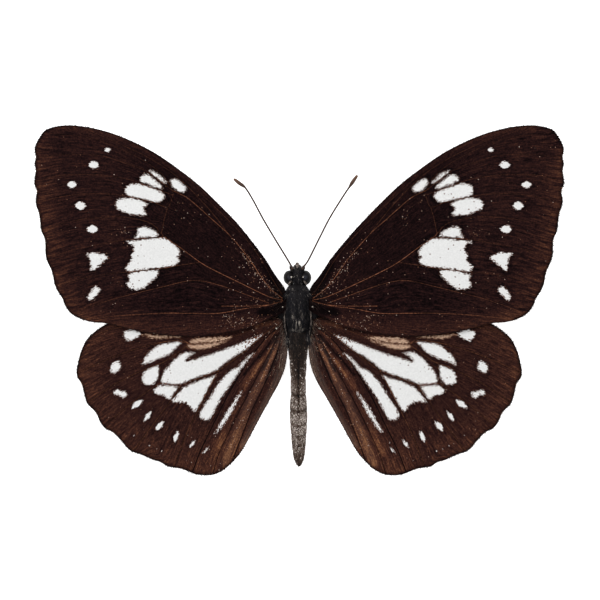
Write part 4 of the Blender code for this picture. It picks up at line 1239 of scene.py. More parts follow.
@dataclass
class Wing:
    """A pair of wings: thin membranes with raised veins, painted by attributes and dusted.

    Args:
        word: forewing or hindwing.
        slot: the record's material slot.
        finish: the scales on it.
        outline: its whole margin.
        termen: the part of the outline that is the outer margin.
        veins: its veins and folds.
        bands: zones lighter or greyer than the ground.
        seed: the chance seed of its grain.
        hub: the point that its rows of scales fan out from.
    """

    word: str
    slot: str
    finish: WingScales
    outline: Line
    termen: slice
    veins: list[Vein]
    bands: list[Band]
    seed: int
    hub: tuple[float, float] = (1.0, 0.0)
    membrane: float = 0.13
    margin_step: float = 0.25
    fill_step: float = 0.27
    vein_step: float = 0.28
    vein_shoulder: float = 0.12
    pleat_depth: float = 0.22
    pleat_half_width: float = 0.8
    tuck: float = 0.55
    tuck_reach: float = 2.2
    shoulders: tuple[float, ...] = (0.0, 1.0, -1.0, 2.1, -2.1)
    bead_gap: float = 0.08
    vein_clearance: float = 3.2
    rim_clearance: float = 0.11
    row_step: float = 0.5
    row_turn: float = 0.004
    row_pace: float = 8.0
    row_width: float = 4.0

    def height(self, points: Array) -> Array:
        """Height of the membrane's middle, without its folds."""
        raise NotImplementedError

    def patches(self, points: Array) -> dict[str, Array]:
        """Depth inside the white and cream patches at each point."""
        raise NotImplementedError

    def ground(self, points: Array, root: Array, edge: Array) -> dict[str, Array]:
        """The brown ground's tone, and where specks, hairs and stray scales lie.

        Args:
            points: (outward, forward) rows.
            root: distance from the wing's root.
            edge: distance from the outer margin.

        Returns:
            Values at each point by attribute name.
        """
        raise NotImplementedError

    def mesh_points(self, margin: Array, lines: list[Array]) -> Array:
        """Points inside the margin: along each vein and its shoulders, then a fill between."""
        chance = np.random.default_rng(self.seed)
        beads = []
        for line in lines:
            ahead = np.gradient(line, axis=0)
            ahead /= np.linalg.norm(ahead, axis=1)[:, None]
            across = np.stack([-ahead[:, 1], ahead[:, 0]], axis=1)
            for shift in self.shoulders:
                beads.append(line + across * shift * self.vein_shoulder)
        beads = np.vstack(beads)
        _, first = np.unique(np.round(beads / self.bead_gap).astype(int), axis=0, return_index=True)
        beads = beads[np.sort(first)]
        low, high = margin.min(axis=0), margin.max(axis=0)
        across, forward = np.meshgrid(np.arange(low[0], high[0], self.fill_step),
                                      np.arange(low[1], high[1], self.fill_step * ROW_RATIO))
        across[1::2] += self.fill_step / 2
        fill = np.stack([across.ravel(), forward.ravel()], axis=1)
        fill += chance.uniform(-FILL_JITTER, FILL_JITTER, fill.shape)
        for line in lines:
            fill = fill[to_line(fill, line)[0] > self.vein_clearance * self.vein_shoulder]
        points = np.vstack([beads, fill])
        points = points[inside(points, margin)]
        rim = np.vstack([margin, margin[:1]])
        return points[to_line(points, rim)[0] > self.rim_clearance]

    def rows(self, points: Array) -> Array:
        """Which lengthwise row of scales each point lies in, counted from the front.

        At each distance from the hub the rows are spaced evenly from one vein to the next, so
        they run with the veins.
        """
        away = points - self.hub
        reach, turn = np.hypot(*away.T), -np.arctan2(away[:, 1], away[:, 0])
        step, wide = self.row_step, self.row_turn
        reaches = np.arange(0, reach.max() + 2 * step, step)
        turns = np.arange(turn.min() - wide, turn.max() + 2 * wide, wide)
        lines = []
        for vein in self.veins:
            off = spline(vein.line, 0.3) - self.hub
            lines.append((vein.number, np.maximum.accumulate(np.hypot(*off.T)),
                          -np.arctan2(off[:, 1], off[:, 0])))
        table = []
        for at in reaches:
            met = sorted((np.interp(at, far, angle), number) for number, far, angle in lines
                         if far[0] <= max(at, 6.0) and at <= far[-1] + 1.5)
            angles, numbers = np.array(met).T
            numbers = np.maximum.accumulate(numbers)
            angles = np.array([angles[0] - 1, *angles, angles[-1] + 1])
            numbers = np.array([numbers[0] - self.row_pace, *numbers, numbers[-1] + self.row_pace])
            table.append(np.interp(turns, angles, numbers))
        padded = np.pad(np.array(table), ((2, 2), (0, 0)), mode="edge")
        table = sum(padded[k:k + len(reaches)] for k in range(5)) / 5
        i, j = reach / step, (turn - turns[0]) / wide
        i0, j0 = np.floor(i).astype(int), np.floor(j).astype(int)
        u, v = i - i0, j - j0
        return ((1 - u) * ((1 - v) * table[i0, j0] + v * table[i0, j0 + 1])
                + u * ((1 - v) * table[i0 + 1, j0] + v * table[i0 + 1, j0 + 1]))

    def sheet(self) -> WingSheet:
        """Draws the wing flat and paints it."""
        margin = spline(self.outline, self.margin_step, closed=True)
        lines = [spline(vein.line, self.vein_step) for vein in self.veins]
        points = np.vstack([margin, self.mesh_points(margin, lines)])
        ring = [list(reversed(range(len(margin))))]
        flat, _, faces, *_ = delaunay_2d_cdt([Vector(p) for p in points], [], ring, 1, 1e-5)
        points = np.array([tuple(p) for p in flat])
        triangles = np.array(faces)
        edges = np.vstack([triangles[:, [0, 1]], triangles[:, [1, 2]], triangles[:, [2, 0]]])
        key, back = edges @ (len(points), 1), edges @ (1, len(points))
        walls = edges[~np.isin(key, back)]

        rim = to_line(points, np.vstack([margin, margin[:1]]))[0]
        outer = spline(self.outline[self.termen], self.margin_step)
        edge = to_line(points, outer)[0]
        root = np.hypot(points[:, 0] - ROOT_OUT, points[:, 1] - self.outline[0][1] / 2)
        middle, ridge = self.height(points), np.zeros(len(points))
        horn, line_dark = np.zeros(len(points)), np.zeros(len(points))
        nearest = np.full(len(points), 2.0)
        worn = np.clip(1.25 - root / 40, 0.35, 1)
        for vein, line in zip(self.veins, lines):
            gap, _ = to_line(points, line)
            nearer = gap < nearest
            bare = vein.copper * np.interp(root, *VEIN_BARE)
            nearest[nearer], horn[nearer], line_dark[nearer] = gap[nearer], bare[nearer], vein.dark
            if vein.ridge > 0:
                ridge = np.maximum(ridge, vein.ridge * worn * (1 - fade(gap, 0.0, 0.2)))
            elif vein.ridge < 0:
                middle -= self.pleat_depth * np.maximum(0, 1 - gap / self.pleat_half_width)
        thin = np.interp(root, *VEIN_THIN)
        paint = {"horn": horn, "line": line_dark, "gap": nearest * thin, "grey": 0 * root,
                 "margin": rim + 0.3 * fade(edge - rim, 0.1, 0.6)}
        paint.update(self.patches(points))
        paint.update(self.ground(points, root, edge))
        paint["tone"] = paint["tone"] - 0.1 * (1 - fade(-paint["white"], 0.2, 1.1))
        for band in self.bands:
            gap, _ = to_line(points, spline(band.line, 0.8))
            share = 1 - fade(gap, 0.25 * band.half_width, band.half_width)
            paint["tone"] = paint["tone"] + band.tone * share
            paint["grey"] = np.maximum(paint["grey"], band.grey * share)
            paint["speck"] = paint["speck"] + band.speck * share
        paint["grain"] = np.stack([root, self.rows(points) * self.row_width, np.zeros(len(points))], axis=1)
        taper = 0.35 + 0.65 * fade(rim, 0.0, 1.0)
        return WingSheet(points, triangles, walls, middle, self.membrane / 2 * taper + ridge, paint)

    def piece(self, side: Side, sheet: WingSheet) -> Piece:
        """One wing's membrane as a closed mesh."""
        count = len(sheet.points)
        across, forward = sheet.points.T
        across = across - self.tuck * (1 - fade(across, ROOT_OUT, ROOT_OUT + self.tuck_reach))
        faces = []
        corners = lean(np.vstack([
            np.stack([side.value * across, forward, sheet.middle + sheet.half], axis=1),
            np.stack([side.value * across, forward, sheet.middle - sheet.half], axis=1)]))
        low = sheet.triangles[:, ::-1] + count
        a, b = sheet.walls.T
        walls = np.stack([b, a, a + count, b + count], axis=1)
        for part in (sheet.triangles, low, walls):
            faces += (part if side is Side.RIGHT else part[:, ::-1]).tolist()
        paint = {}
        for key, values in sheet.paint.items():
            under = values
            if key == "grain":
                shift = np.array([0.0, 0.0, 40.0 + 9.0 * side.value])
                values, under = values + shift, values + shift * 2
            elif key == "tone":
                under = values + 0.12
            elif key in ("coat", "dust"):
                under = values * 0.15
            paint[key] = np.concatenate([values, under])
        out = np.stack([across - ROOT_OUT + 1.0, forward - self.outline[0][1] / 2], axis=1)
        out /= np.linalg.norm(out, axis=1)[:, None]
        comb = np.stack([side.value * out[:, 0], out[:, 1], np.zeros(count)], axis=1)
        paint["comb"] = np.vstack([comb, comb])
        return make_object(
            f"{self.word}_{side.word}_membrane", corners, faces, paint, self.finish.material(), False)

    def fringe(self, side: Side) -> None:
        """Short scales that stand out from the margin, palest in its hollows."""
        margin = spline(self.outline, self.margin_step, closed=True)
        ahead = np.roll(margin, -1, axis=0) - np.roll(margin, 1, axis=0)
        out = np.stack([-ahead[:, 1], ahead[:, 0]], axis=1)
        out /= np.linalg.norm(out, axis=1)[:, None]
        wide = np.roll(margin, -3, axis=0) + np.roll(margin, 3, axis=0) - 2 * margin
        hollow = fade(np.sum(wide * out, axis=1), 0.0, 0.12)
        count = len(margin)
        rings = [margin - out * depth for depth in (0.06, 0.24)]
        corners = np.vstack([
            np.column_stack([side.value * ring[:, 0], ring[:, 1], self.height(ring) + 0.04])
            for ring in rings])
        faces = []
        for i in range(count):
            k = (i + 1) % count
            face = (i, k, count + k, count + i)
            faces.append(face if side is Side.LEFT else face[::-1])
        outer = to_line(margin, spline(self.outline[self.termen], self.margin_step))[0]
        level = np.column_stack([side.value * out[:, 0], out[:, 1], np.zeros(count)])
        base = make_object(f"{self.word}_{side.word}_rim", lean(corners), faces, {
            "comb": np.tile(level, (2, 1)), "tint": np.tile(0.1 + 0.5 * hollow, 2),
            "coat": np.tile(np.where(outer < 0.5, 1.0, 0.45), 2)}, turn_out=False)
        Coat(f"{self.word}_{side.word}_fringe", Strand.SCALE, FRINGE_SCALES, self.slot, density=46,
             length=0.27, slimness=0.4, lift=0.05, spread=0.25, seed=self.seed).grow_on(base)
        bpy.data.objects.remove(base)

    def build(self) -> None:
        """Makes both wings of the pair with their coats."""
        sheet = self.sheet()
        for side in Side:
            skin = hand_in(self.piece(side, sheet), self.slot, f"{self.word}_{side.word}")
            Coat(f"{self.word}_{side.word}_hair", Strand.HAIR, WING_HAIR, self.slot, density=26,
                 length=0.9, slimness=0.024, lift=0.22, spread=0.22,
                 seed=self.seed + side.value).grow_on(skin)
            Coat(f"{self.word}_{side.word}_stray_scales", Strand.SCALE, STRAY_SCALES, self.slot,
                 where="dust", density=1.3, length=0.125, slimness=0.6, lift=0.2, spread=0.6,
                 seed=self.seed + 5 + side.value).grow_on(skin)
            self.fringe(side)


@dataclass
class Forewing(Wing):
    """The front pair, which lies over the front edge of the hind pair."""

    def height(self, points: Array) -> Array:
        """Cambered about its own chord."""
        off_chord = points[:, 1] - FORE_CHORD_START - FORE_CHORD_SLOPE * points[:, 0]
        return setting_plane(points[:, 0]) + FORE_LIFT - FORE_CAMBER * off_chord**2

    def patches(self, points: Array) -> dict[str, Array]:
        """Two broken bands and the dots along the outer margin."""
        depths = [patch_depth(points, patch) for patch in FORE_WHITE.values()]
        depths += [np.maximum(2 * dot_depth(points, dot), -FAR_OUTSIDE) for dot in FORE_DOTS.values()]
        return {"white": np.max(depths, axis=0), "cream": np.full(len(points), -FAR_OUTSIDE)}

    def ground(self, points: Array, root: Array, edge: Array) -> dict[str, Array]:
        """Darkest in the middle, browner towards the outer margin and the root, with painted shade right at
        the root.
        """
        across, forward = points.T
        near_edge = 1 - fade(edge, 0.4, 5.0)
        tone = 0.15 + 0.05 * (1 - fade(root, 4, 14)) + 0.13 * fade(across, 22, 32)
        tone += 0.18 * near_edge * (1 - 0.8 * fade(forward, 22, 27))
        tone += 0.24 * fade(-forward, 0.8, 4.6)
        costa = to_line(points, spline(self.outline[FORE_COSTA], 1.0))[0]
        tone += (1 - fade(costa, 0.3, 1.4)) * (0.22 * fade(root, 8, 18) - 0.1)
        # Painted shade: the ground darkens right at the root, in the shadow by the body
        tone -= 0.3 * (1 - fade(root, 0.6, 2.6))
        speck = 0.006 + 0.12 * (1 - fade(root, 2, 14)) * fade(root, 0.6, 3.0)
        for middle, radii, much in FORE_DUST:
            near = np.hypot((across - middle[0]) / radii[0], (forward - middle[1]) / radii[1])
            speck += much * (1 - fade(near, 0.3, 1.0))
        beam = to_line(points, spline(FORE_VEINS[2].line, 0.5))[0]
        speck += 0.16 * (1 - fade(beam, 0.2, 1.1)) * (1 - fade(root, 9, 20))
        speck *= 0.3 + 0.7 * fade(costa, 0.8, 2.5)
        return {"tone": tone, "speck": speck, "dust": speck * 1.5, "streaky": 0.7 + 0.7 * near_edge,
            "dusk": 0.006 + 0 * root, "coat": (1 - fade(root, 1.0, 3.2)) * 0.9, "tint": 0.05 + 0.5 * speck}


@dataclass
class Hindwing(Wing):
    """The hind pair, pleated along the body."""

    def height(self, points: Array) -> Array:
        """Below the front pair, and drooping behind."""
        behind = np.minimum(0.0, points[:, 1] - HIND_DROOP_START)
        return setting_plane(points[:, 0]) - HIND_DROP - HIND_DROOP * behind**2

    def patches(self, points: Array) -> dict[str, Array]:
        """The large broken patch, the streaks behind it and the row of spots."""
        depths = [patch_depth(points, patch) for patch in HIND_WHITE.values()]
        small = [spindle_depth(points, ends) for ends in HIND_SPINDLES.values()]
        small += [dot_depth(points, (*fleck, FLECK_RADIUS, FLECK_RADIUS)) for fleck in HIND_FLECKS]
        depths += [np.maximum(2 * depth, -FAR_OUTSIDE) for depth in small]
        cream = np.max([patch_depth(points, patch) for patch in HIND_TAN.values()], axis=0)
        return {"white": np.max(depths, axis=0), "cream": cream}

    def ground(self, points: Array, root: Array, edge: Array) -> dict[str, Array]:
        """Brown, darker behind the veins and along the margin, greyer by the body, with painted shade right
        at the root.
        """
        across, forward = points.T
        near_edge = 1 - fade(edge, 0.5, 6.0)
        tone = 0.35 + 0.12 * near_edge - 0.02 * (1 - fade(root, 2, 9))
        tone += 0.1 * fade(-forward, 17, 24) * (1 - fade(across, 16, 22))
        tone -= 0.06 * (1 - fade(-forward, 4, 9)) * fade(across, 14, 24)
        # Painted shade: the ground darkens right at the root, in the shadow by the body
        tone -= 0.3 * (1 - fade(root, 1.0, 2.6))
        inner = to_line(points, spline(self.outline[HIND_INNER_START:] + self.outline[:1], 0.8))[0]
        furry = (1 - fade(inner, 0.3, 2.0)) * (1 - fade(-forward, 9, 15))
        speck = 0.006 + 0.07 * (1 - fade(root, 3, 14)) + 0.03 * (1 - fade(inner, 2.0, 7.0))
        return {"tone": tone, "speck": speck, "dust": speck * 1.2,
            "streaky": 0.5 + 0.5 * near_edge + 1.0 * (1 - fade(root, 3, 10)),
            "dusk": 0.004 + 0.5 * (1 - fade(root, 5, 11)),
            "coat": np.maximum(furry, 0.8 * (1 - fade(root, 2.0, 6.0))),
            "tint": 0.2 + 0.36 * (1 - fade(inner, 0.2, 1.6))}


# Body


@dataclass
class Thorax:
    """The barrel that carries the wings: plates under short blue-black fur, flat below."""

    sides: int = 72
    step: float = 0.2

    def carve(self, corners: Array) -> Array:
        """Cuts the groove and the seams of the back plates and raises the hind shield."""
        across, forward, up = corners.T
        back = fade(up, 4.2, 5.8)
        groove = 0.16 * np.exp(-((across / 0.16) ** 2)) * fade(forward, -3.2, -2.4)
        seam = 0.16 * np.exp(-(((forward + 3.0 - 0.45 * np.abs(across)) / 0.16) ** 2))
        collar = 0.14 * np.exp(-(((forward - 1.55 - 0.25 * np.abs(across)) / 0.18) ** 2))
        shield = 0.22 * np.exp(-(((forward + 3.8) / 0.5) ** 2) - (across / 0.75) ** 2)
        rear_seam = 0.16 * np.exp(-(((forward + 4.5) / 0.14) ** 2))
        shaped = corners.copy()
        shaped[:, 2] += back * (shield - groove - seam - collar - rear_seam)
        shaped[:, 2] = np.maximum(shaped[:, 2], 0.0)
        return shaped

    def paint(self, corners: Array) -> dict[str, Array]:
        """Where the fur grows, how it lies and how pale it is, with two painted highlights on the back."""
        across, forward, up = corners.T
        out, above = np.abs(across), fade(up, 4.3, 5.2)
        keel = np.exp(-(((out - 0.24 - 0.1 * np.abs(forward + 3.2)) / 0.12) ** 2))
        keel *= fade(-forward, 2.9, 3.3) * (1 - fade(-forward, 4.3, 4.7))
        arc = np.exp(-(((forward + 4.85 - 0.3 * across**2) / 0.12) ** 2)) * (1 - fade(out, 0.9, 1.2))
        # Painted highlight: tufts is a pale patch on each side of the back, where the fur glints
        tufts = np.exp(-(((out - 0.7) / 0.25) ** 2) - ((forward + 2.6) / 0.5) ** 2)
        collar = fade(forward, 1.2, 2.2) * fade(out, 0.5, 1.3)
        comb = np.stack([0.25 * np.sign(across) * fade(out, 0.2, 1.8), -np.ones_like(across),
                         -0.25 * (1 - fade(up, 3.0, 5.5))], axis=1)
        plate = np.exp(-(((out - 0.8) / 0.5) ** 2)) * fade(forward, -3.0, -1.5)
        seam = np.exp(-(((out - 1.45 + 0.012 * (forward + 1.5) ** 2) / 0.13) ** 2))
        tint = 0.14 + above * (0.6 * keel + 0.6 * arc + 0.4 * tufts) + 0.1 * collar
        tint += above * (0.06 * plate - 0.09 * seam * fade(-forward, -1.0, 0.5))
        tint -= 0.07 * np.exp(-((across / 0.16) ** 2)) * (1 - fade(-forward, 2.6, 3.2))
        tint -= 0.05 * fade(-forward, 4.9, 5.1)
        coat = fade(up, 0.05, 0.8) * (0.45 + 0.55 * fade(up, 2.5, 4.0))
        return {"coat": coat, "comb": comb, "tint": tint}

    def build(self) -> None:
        """Makes the plates and their fur."""
        rings = oval_rings(spline(THORAX_SECTIONS, self.step), self.sides)
        corners, faces = loft(rings)
        corners = self.carve(corners)
        skin = make_object("thorax_plates", lean(corners), faces, self.paint(corners), BODY_SKIN.material())
        hand_in(skin, "body_fur", "thorax")
        Coat("thorax_fur", Strand.HAIR, BODY_HAIR, "body_fur", density=90, length=0.4,
             slimness=0.065, lift=0.16, spread=0.16, seed=11).grow_on(skin)


@dataclass(frozen=True)
class Pad:
    """A small furred or scaled lobe, drawn for the right side.

    Args:
        name: the piece's name.
        centre: its middle.
        radii: half its width, length and height.
        turn: how far its front end turns outwards, in degrees.
        tint: how pale its coat is.
        strand: what its coat is made of.
        density: strands a square millimetre.
        length: length of a strand.
        slimness: a strand's radius or width, as a share of its length.
        lift: how far strands stand off.
        comb: the way that they lie.
        bow: how far its ends bend back towards the middle line.
        finish: what its coat is made of.
    """

    name: str
    centre: tuple[float, float, float]
    radii: tuple[float, float, float]
    turn: float = 0.0
    tint: float = 0.14
    strand: Strand = Strand.HAIR
    density: float = 46.0
    length: float = 0.55
    slimness: float = 0.055
    lift: float = 0.2
    comb: tuple[float, float, float] = (0.2, -1.0, 0.0)
    bow: float = 0.0
    finish: Finish = BODY_HAIR

    def build(self, side: Side) -> None:
        """Makes the lobe and its coat on one side."""
        corners, faces = unit_ball(24, 20, 0.05)
        corners *= self.radii
        corners[:, 0] -= self.bow * (corners[:, 1] / self.radii[1]) ** 2
        angle = math.radians(self.turn)
        across = corners[:, 0] * math.cos(angle) + corners[:, 1] * math.sin(angle)
        forward = corners[:, 1] * math.cos(angle) - corners[:, 0] * math.sin(angle)
        corners = np.stack([across, forward, corners[:, 2]], axis=1) + self.centre
        corners[:, 0] *= side.value
        comb = np.tile((self.comb[0] * side.value, *self.comb[1:]), (len(corners), 1))
        plain = np.ones(len(corners))
        skin = make_object(f"{self.name}_{side.word}", lean(corners), faces, {
            "coat": plain, "comb": comb, "tint": self.tint * plain}, BODY_SKIN.material())
        hand_in(skin, "body_fur")
        Coat(f"{self.name}_{side.word}_coat", self.strand, self.finish, "body_fur",
             density=self.density, length=self.length, slimness=self.slimness, lift=self.lift,
             spread=0.2, seed=17 + side.value).grow_on(skin)


PADS = [
    Pad("wing_shoulder", (1.82, 1.05, 5.15), (0.3, 0.75, 0.25), -24.0, tint=0.22, length=0.42,
        comb=(0.7, -0.6, 0.1), lift=0.35),
    Pad("flank", (2.12, -2.4, 4.3), (0.4, 3.6, 0.4), tint=-0.06, length=0.4, bow=0.25),
    # Partly the wing roots' dark hair and partly painted shade: a black pad filling the shadow between
    # thorax and wings
    Pad("root_shade_pad", (2.7, -2.0, 4.55), (0.62, 1.1, 0.2), tint=-0.1, density=30, length=0.4),
    Pad("rear_flank", (1.78, -6.2, 3.9), (0.32, 1.9, 0.4), -3.0, tint=0.22, density=30, length=0.8),
    Pad("pale_line", (2.18, -2.6, 4.98), (0.06, 3.0, 0.1), tint=0.4, density=40, length=0.45,
        slimness=0.05, lift=0.08, bow=0.4, finish=TAUPE_DOWN),
    Pad("eye_spot", (0.98, 4.02, 5.1), (0.11, 0.12, 0.08), tint=1.3, strand=Strand.SCALE, density=260,
        length=0.16, slimness=0.6),
    Pad("eye_rim", (1.16, 3.16, 4.9), (0.1, 0.6, 0.13), -34.0, tint=0.3, strand=Strand.SCALE, density=150,
        length=0.24, slimness=0.4, comb=(0.7, -0.7, 0.0), finish=TAUPE_DOWN),
    Pad("antenna_foot", (1.02, 5.42, 4.5), (0.25, 0.46, 0.3), 8.0, tint=0.12, density=80, length=0.3,
        comb=(0.3, 1.0, 0.3), lift=0.3),
    Pad("palp_crest", (0.14, 5.74, 4.74), (0.17, 0.5, 0.22), 4.0, tint=0.4, strand=Strand.SCALE,
        density=210, length=0.24, slimness=0.5, comb=(-0.3, 1.0, 0.0), lift=0.06, finish=TAUPE_DOWN),
    Pad("root_glint", (2.5, -0.95, 5.34), (0.1, 0.08, 0.05), tint=1.3, strand=Strand.SCALE, density=200,
        length=0.14, slimness=0.6),
    Pad("hind_glint", (3.6, -4.55, 4.42), (0.12, 0.1, 0.06), tint=1.1, strand=Strand.SCALE, density=200,
        length=0.16, slimness=0.6),
]


@dataclass
class Head:
    """The small head between the eyes, tufted on top and paler behind the eyes."""

    sides: int = 48
    step: float = 0.14

    def build(self) -> None:
        """Makes the skull, with a groove on top, and its fur with the pale tufts."""
        rings = oval_rings(spline(HEAD_SECTIONS, self.step), self.sides)
        corners, faces = loft(rings)
        across, forward, up = corners.T
        corners[:, 2] -= 0.12 * np.exp(-((across / 0.2) ** 2)) * fade(up, 4.4, 5.0)
        tint = 0.19 + 0.12 * np.exp(-((across / 0.5) ** 2)) * fade(forward, 3.4, 4.4)
        for x, y, z, radius, much in HEAD_TUFTS:
            for side in Side:
                gap = np.linalg.norm(corners - (side.value * x, y, z), axis=1)
                tint = np.maximum(tint, much * (1 - fade(gap, 0.7 * radius, 1.1 * radius)))
        comb = np.stack([0.5 * across, fade(forward, 3.6, 5.2) * 2 - 1, 0.2 + 0 * up], axis=1)
        skin = make_object("head_capsule", lean(corners), faces, {
            "coat": 1 - 0.8 * fade(forward, 4.9, 5.4), "comb": comb, "tint": tint}, BODY_SKIN.material())
        hand_in(skin, "body_fur", "head")
        Coat("head_fur", Strand.HAIR, BODY_HAIR, "body_fur", density=80, length=0.34,
             slimness=0.08, lift=0.4, spread=0.3, seed=23).grow_on(skin)


@dataclass
class Eye:
    """One bulging compound eye."""

    side: Side
    segments: int = 64
    rings: int = 40

    def build(self) -> None:
        """Makes the lens as a whole ball, so that it closes against the head."""
        corners, faces = unit_ball(self.segments, self.rings, 0.03)
        place = np.array([EYE_CENTRE[0] * self.side.value, *EYE_CENTRE[1:]])
        # Painted highlight: tint marks the upper middle of the eye, where the lens paints a bluish sheen
        off_top = np.hypot(corners[:, 0] - 0.05 * self.side.value, corners[:, 1] - 0.1)
        top = (1 - fade(off_top, 0.1, 0.75)) * (corners[:, 2] > 0)
        corners = corners * EYE_RADII + place
        ball = make_object(f"eye_{self.side.word}_lens", lean(corners), faces, {"tint": top},
                           EYE_LENS.material())
        hand_in(ball, "eye_lens", f"eye_{self.side.word}")


@dataclass
class Antenna:
    """One ringed antenna with its socket, scape and club."""

    side: Side
    shaft: float = 0.14
    club: float = 0.3
    club_length: float = 2.9
    foot: tuple[float, ...] = (0.24, 0.26, 0.24, 0.15)
    tip: float = 0.06
    ring_spacing: float = 0.3

    def build(self) -> None:
        """Draws the horn by Geometry Nodes along its line."""
        line = spline(ANTENNA_LINES[self.side.word], 0.15)
        steps = np.linalg.norm(np.diff(line, axis=0), axis=1)
        to_tip = np.append(np.cumsum(steps[::-1])[::-1], 0.0)
        share = np.clip(1 - to_tip / self.club_length, 0, 1)
        swell = np.sin(math.pi * (0.04 + 0.86 * share)) * fade(share, 0.0, 0.45)
        radius = self.shaft + (self.club - self.shaft) * swell
        radius[:len(self.foot)] = self.foot
        radius[-1] = self.tip
        name = f"antenna_{self.side.word}"
        horn = draw_horn(name, "horn", line, radius, 0.75 * share**2, self.ring_spacing, 0.06, ANTENNA_HORN)
        hand_in(horn, "antenna_horn", name)


@dataclass
class Palp:
    """One palp, an upturned feeler beside the tongue, furred and pale at its tip."""

    side: Side

    def build(self) -> None:
        """Makes the palp and its fur."""
        line = spline(mirrored(PALP_LINE, self.side), 0.12) - (0, 0.22, 0)
        share = np.linspace(0, 1, len(line))
        radii = np.interp(share, (0, 0.3, 0.65, 1), (0.11, 0.18, 0.17, 0.05))
        corners, faces, comb = tube(line, radii, 20)
        tint = 0.15 + 0.6 * fade(corners[:, 2], 2.9, 3.6)
        skin = make_object(f"palp_{self.side.word}_skin", lean(corners), faces, {
            "coat": np.ones(len(corners)), "comb": comb, "tint": tint}, BODY_SKIN.material())
        hand_in(skin, "body_fur", f"palp_{self.side.word}")
        Coat(f"palp_{self.side.word}_fur", Strand.HAIR, BODY_HAIR, "body_fur", density=110,
             length=0.26, slimness=0.07, lift=0.2, spread=0.15, seed=31).grow_on(skin)


@dataclass
class Proboscis:
    """The tongue, coiled upright between the palps, ringed like a hose."""

    turns: float = 2.0
    steps: int = 120
    outer: float = 0.9
    inner: float = 0.34
    middle: tuple[float, float] = (4.95, 1.45)
    ring_spacing: float = 0.12

    def build(self) -> None:
        """Draws the coil by the same nodes as the antennae."""
        share = np.linspace(0, 1, self.steps)
        turn = math.tau * self.turns * share + math.pi / 2
        reach = self.outer + (self.inner - self.outer) * share
        line = np.stack([0 * share, self.middle[0] - reach * np.cos(turn),
                         self.middle[1] + 0.9 * reach * np.sin(turn)], axis=1)
        horn = draw_horn("proboscis", "coil", lean(line), 0.13 - 0.05 * share, 0.3 + 0 * share,
                         self.ring_spacing, 0.04, TONGUE_HORN)
        hand_in(horn, "tongue", "proboscis")


@dataclass
class Abdomen:
    """Nine ringed segments under close grey-brown scales, dark and bluish in front."""

    sides: int = 56
    steps: int = 12

    def rings(self) -> tuple[Array, Array]:
        """Its rings, and how far through its segment each one lies."""
        rows, shares = [], []
        for number, (near, far) in enumerate(zip(ABDOMEN_JOINTS, ABDOMEN_JOINTS[1:])):
            last = number >= ABDOMEN_TIP_FROM
            for k in range(self.steps):
                share = k / self.steps
                back, half, middle = (a + (b - a) * share for a, b in zip(near, far))
                if not last:
                    half *= 0.93 + 0.075 * min(1.0, share / 0.2, (1 - share) / 0.07)
                depth = half * (ABDOMEN_DEPTH if not last else 1.0)
                rows.append((-back, half, middle - depth, middle + depth))
                shares.append(share if not last else 0.5)
        rows.append((-27.7, 0.1, 0.98, 1.18))
        shares.append(0.5)
        return oval_rings(np.array(rows), self.sides), np.array(shares)

    def build(self) -> None:
        """Makes the skin and the scales over it."""
        rings, shares = self.rings()
        corners, faces = loft(rings)
        across, forward, up = corners.T
        share = np.concatenate([np.repeat(shares, self.sides), [0.5, 0.5]])
        height = np.interp(-forward, [j[0] for j in ABDOMEN_JOINTS], [j[2] for j in ABDOMEN_JOINTS])
        half = np.interp(-forward, [j[0] for j in ABDOMEN_JOINTS], [j[1] for j in ABDOMEN_JOINTS])
        side_way = np.abs(across) / half
        middle = np.exp(-((across / 0.18) ** 2)) * (up > height)
        tint = np.interp(-forward, *ABDOMEN_PALE)
        tint += 0.2 * fade(side_way, 0.5, 0.9) * (1 - fade(-forward, 14, 17))
        # Painted shade: darker towards the sides behind, where the rounded abdomen turns away from the
        # light
        tint -= 0.07 * fade(side_way, 0.45, 0.9) * fade(-forward, 14, 17)
        tint -= middle * fade(-forward, 8, 12) * (0.34 - 0.2 * fade(-forward, 16, 20))
        tint -= 0.27 * ((share > 0.84) | (share < 0.05)) * fade(-forward, 12, 16)
        tint = np.where(up < height, tint + 0.12, tint)
        comb = np.stack([0.08 * across, -np.ones_like(across), 0 * up], axis=1)
        coat = np.where((share > 0.95) | (share < 0.04), 0.45, 1.0) * (0.3 + 0.7 * fade(-forward, 7, 10))
        fur = 1 - fade(-forward, 5.8, 8.6)
        point = fade(-forward, 9, 13) * (1 - fade(-forward, 25, 26.5))
        corners[:, 1] -= 0.5 * np.clip(1 - side_way, 0, 1) * point * (up > height)
        skin = make_object("abdomen_rings", lean(corners), faces, {
            "coat": coat, "fur": fur, "comb": comb, "tint": tint}, ABDOMEN_SKIN.material())
        hand_in(skin, "abdomen_scales", "abdomen")
        Coat("abdomen_front_fur", Strand.HAIR, BODY_HAIR, "body_fur", where="fur", density=50,
             length=0.5, slimness=0.055, lift=0.14, spread=0.2, seed=43).grow_on(skin)
        Coat("abdomen_scale_coat", Strand.SCALE, ABDOMEN_SCALES, "abdomen_scales", density=76,
             length=0.265, slimness=0.52, lift=0.14, spread=0.25, seed=37).grow_on(skin)


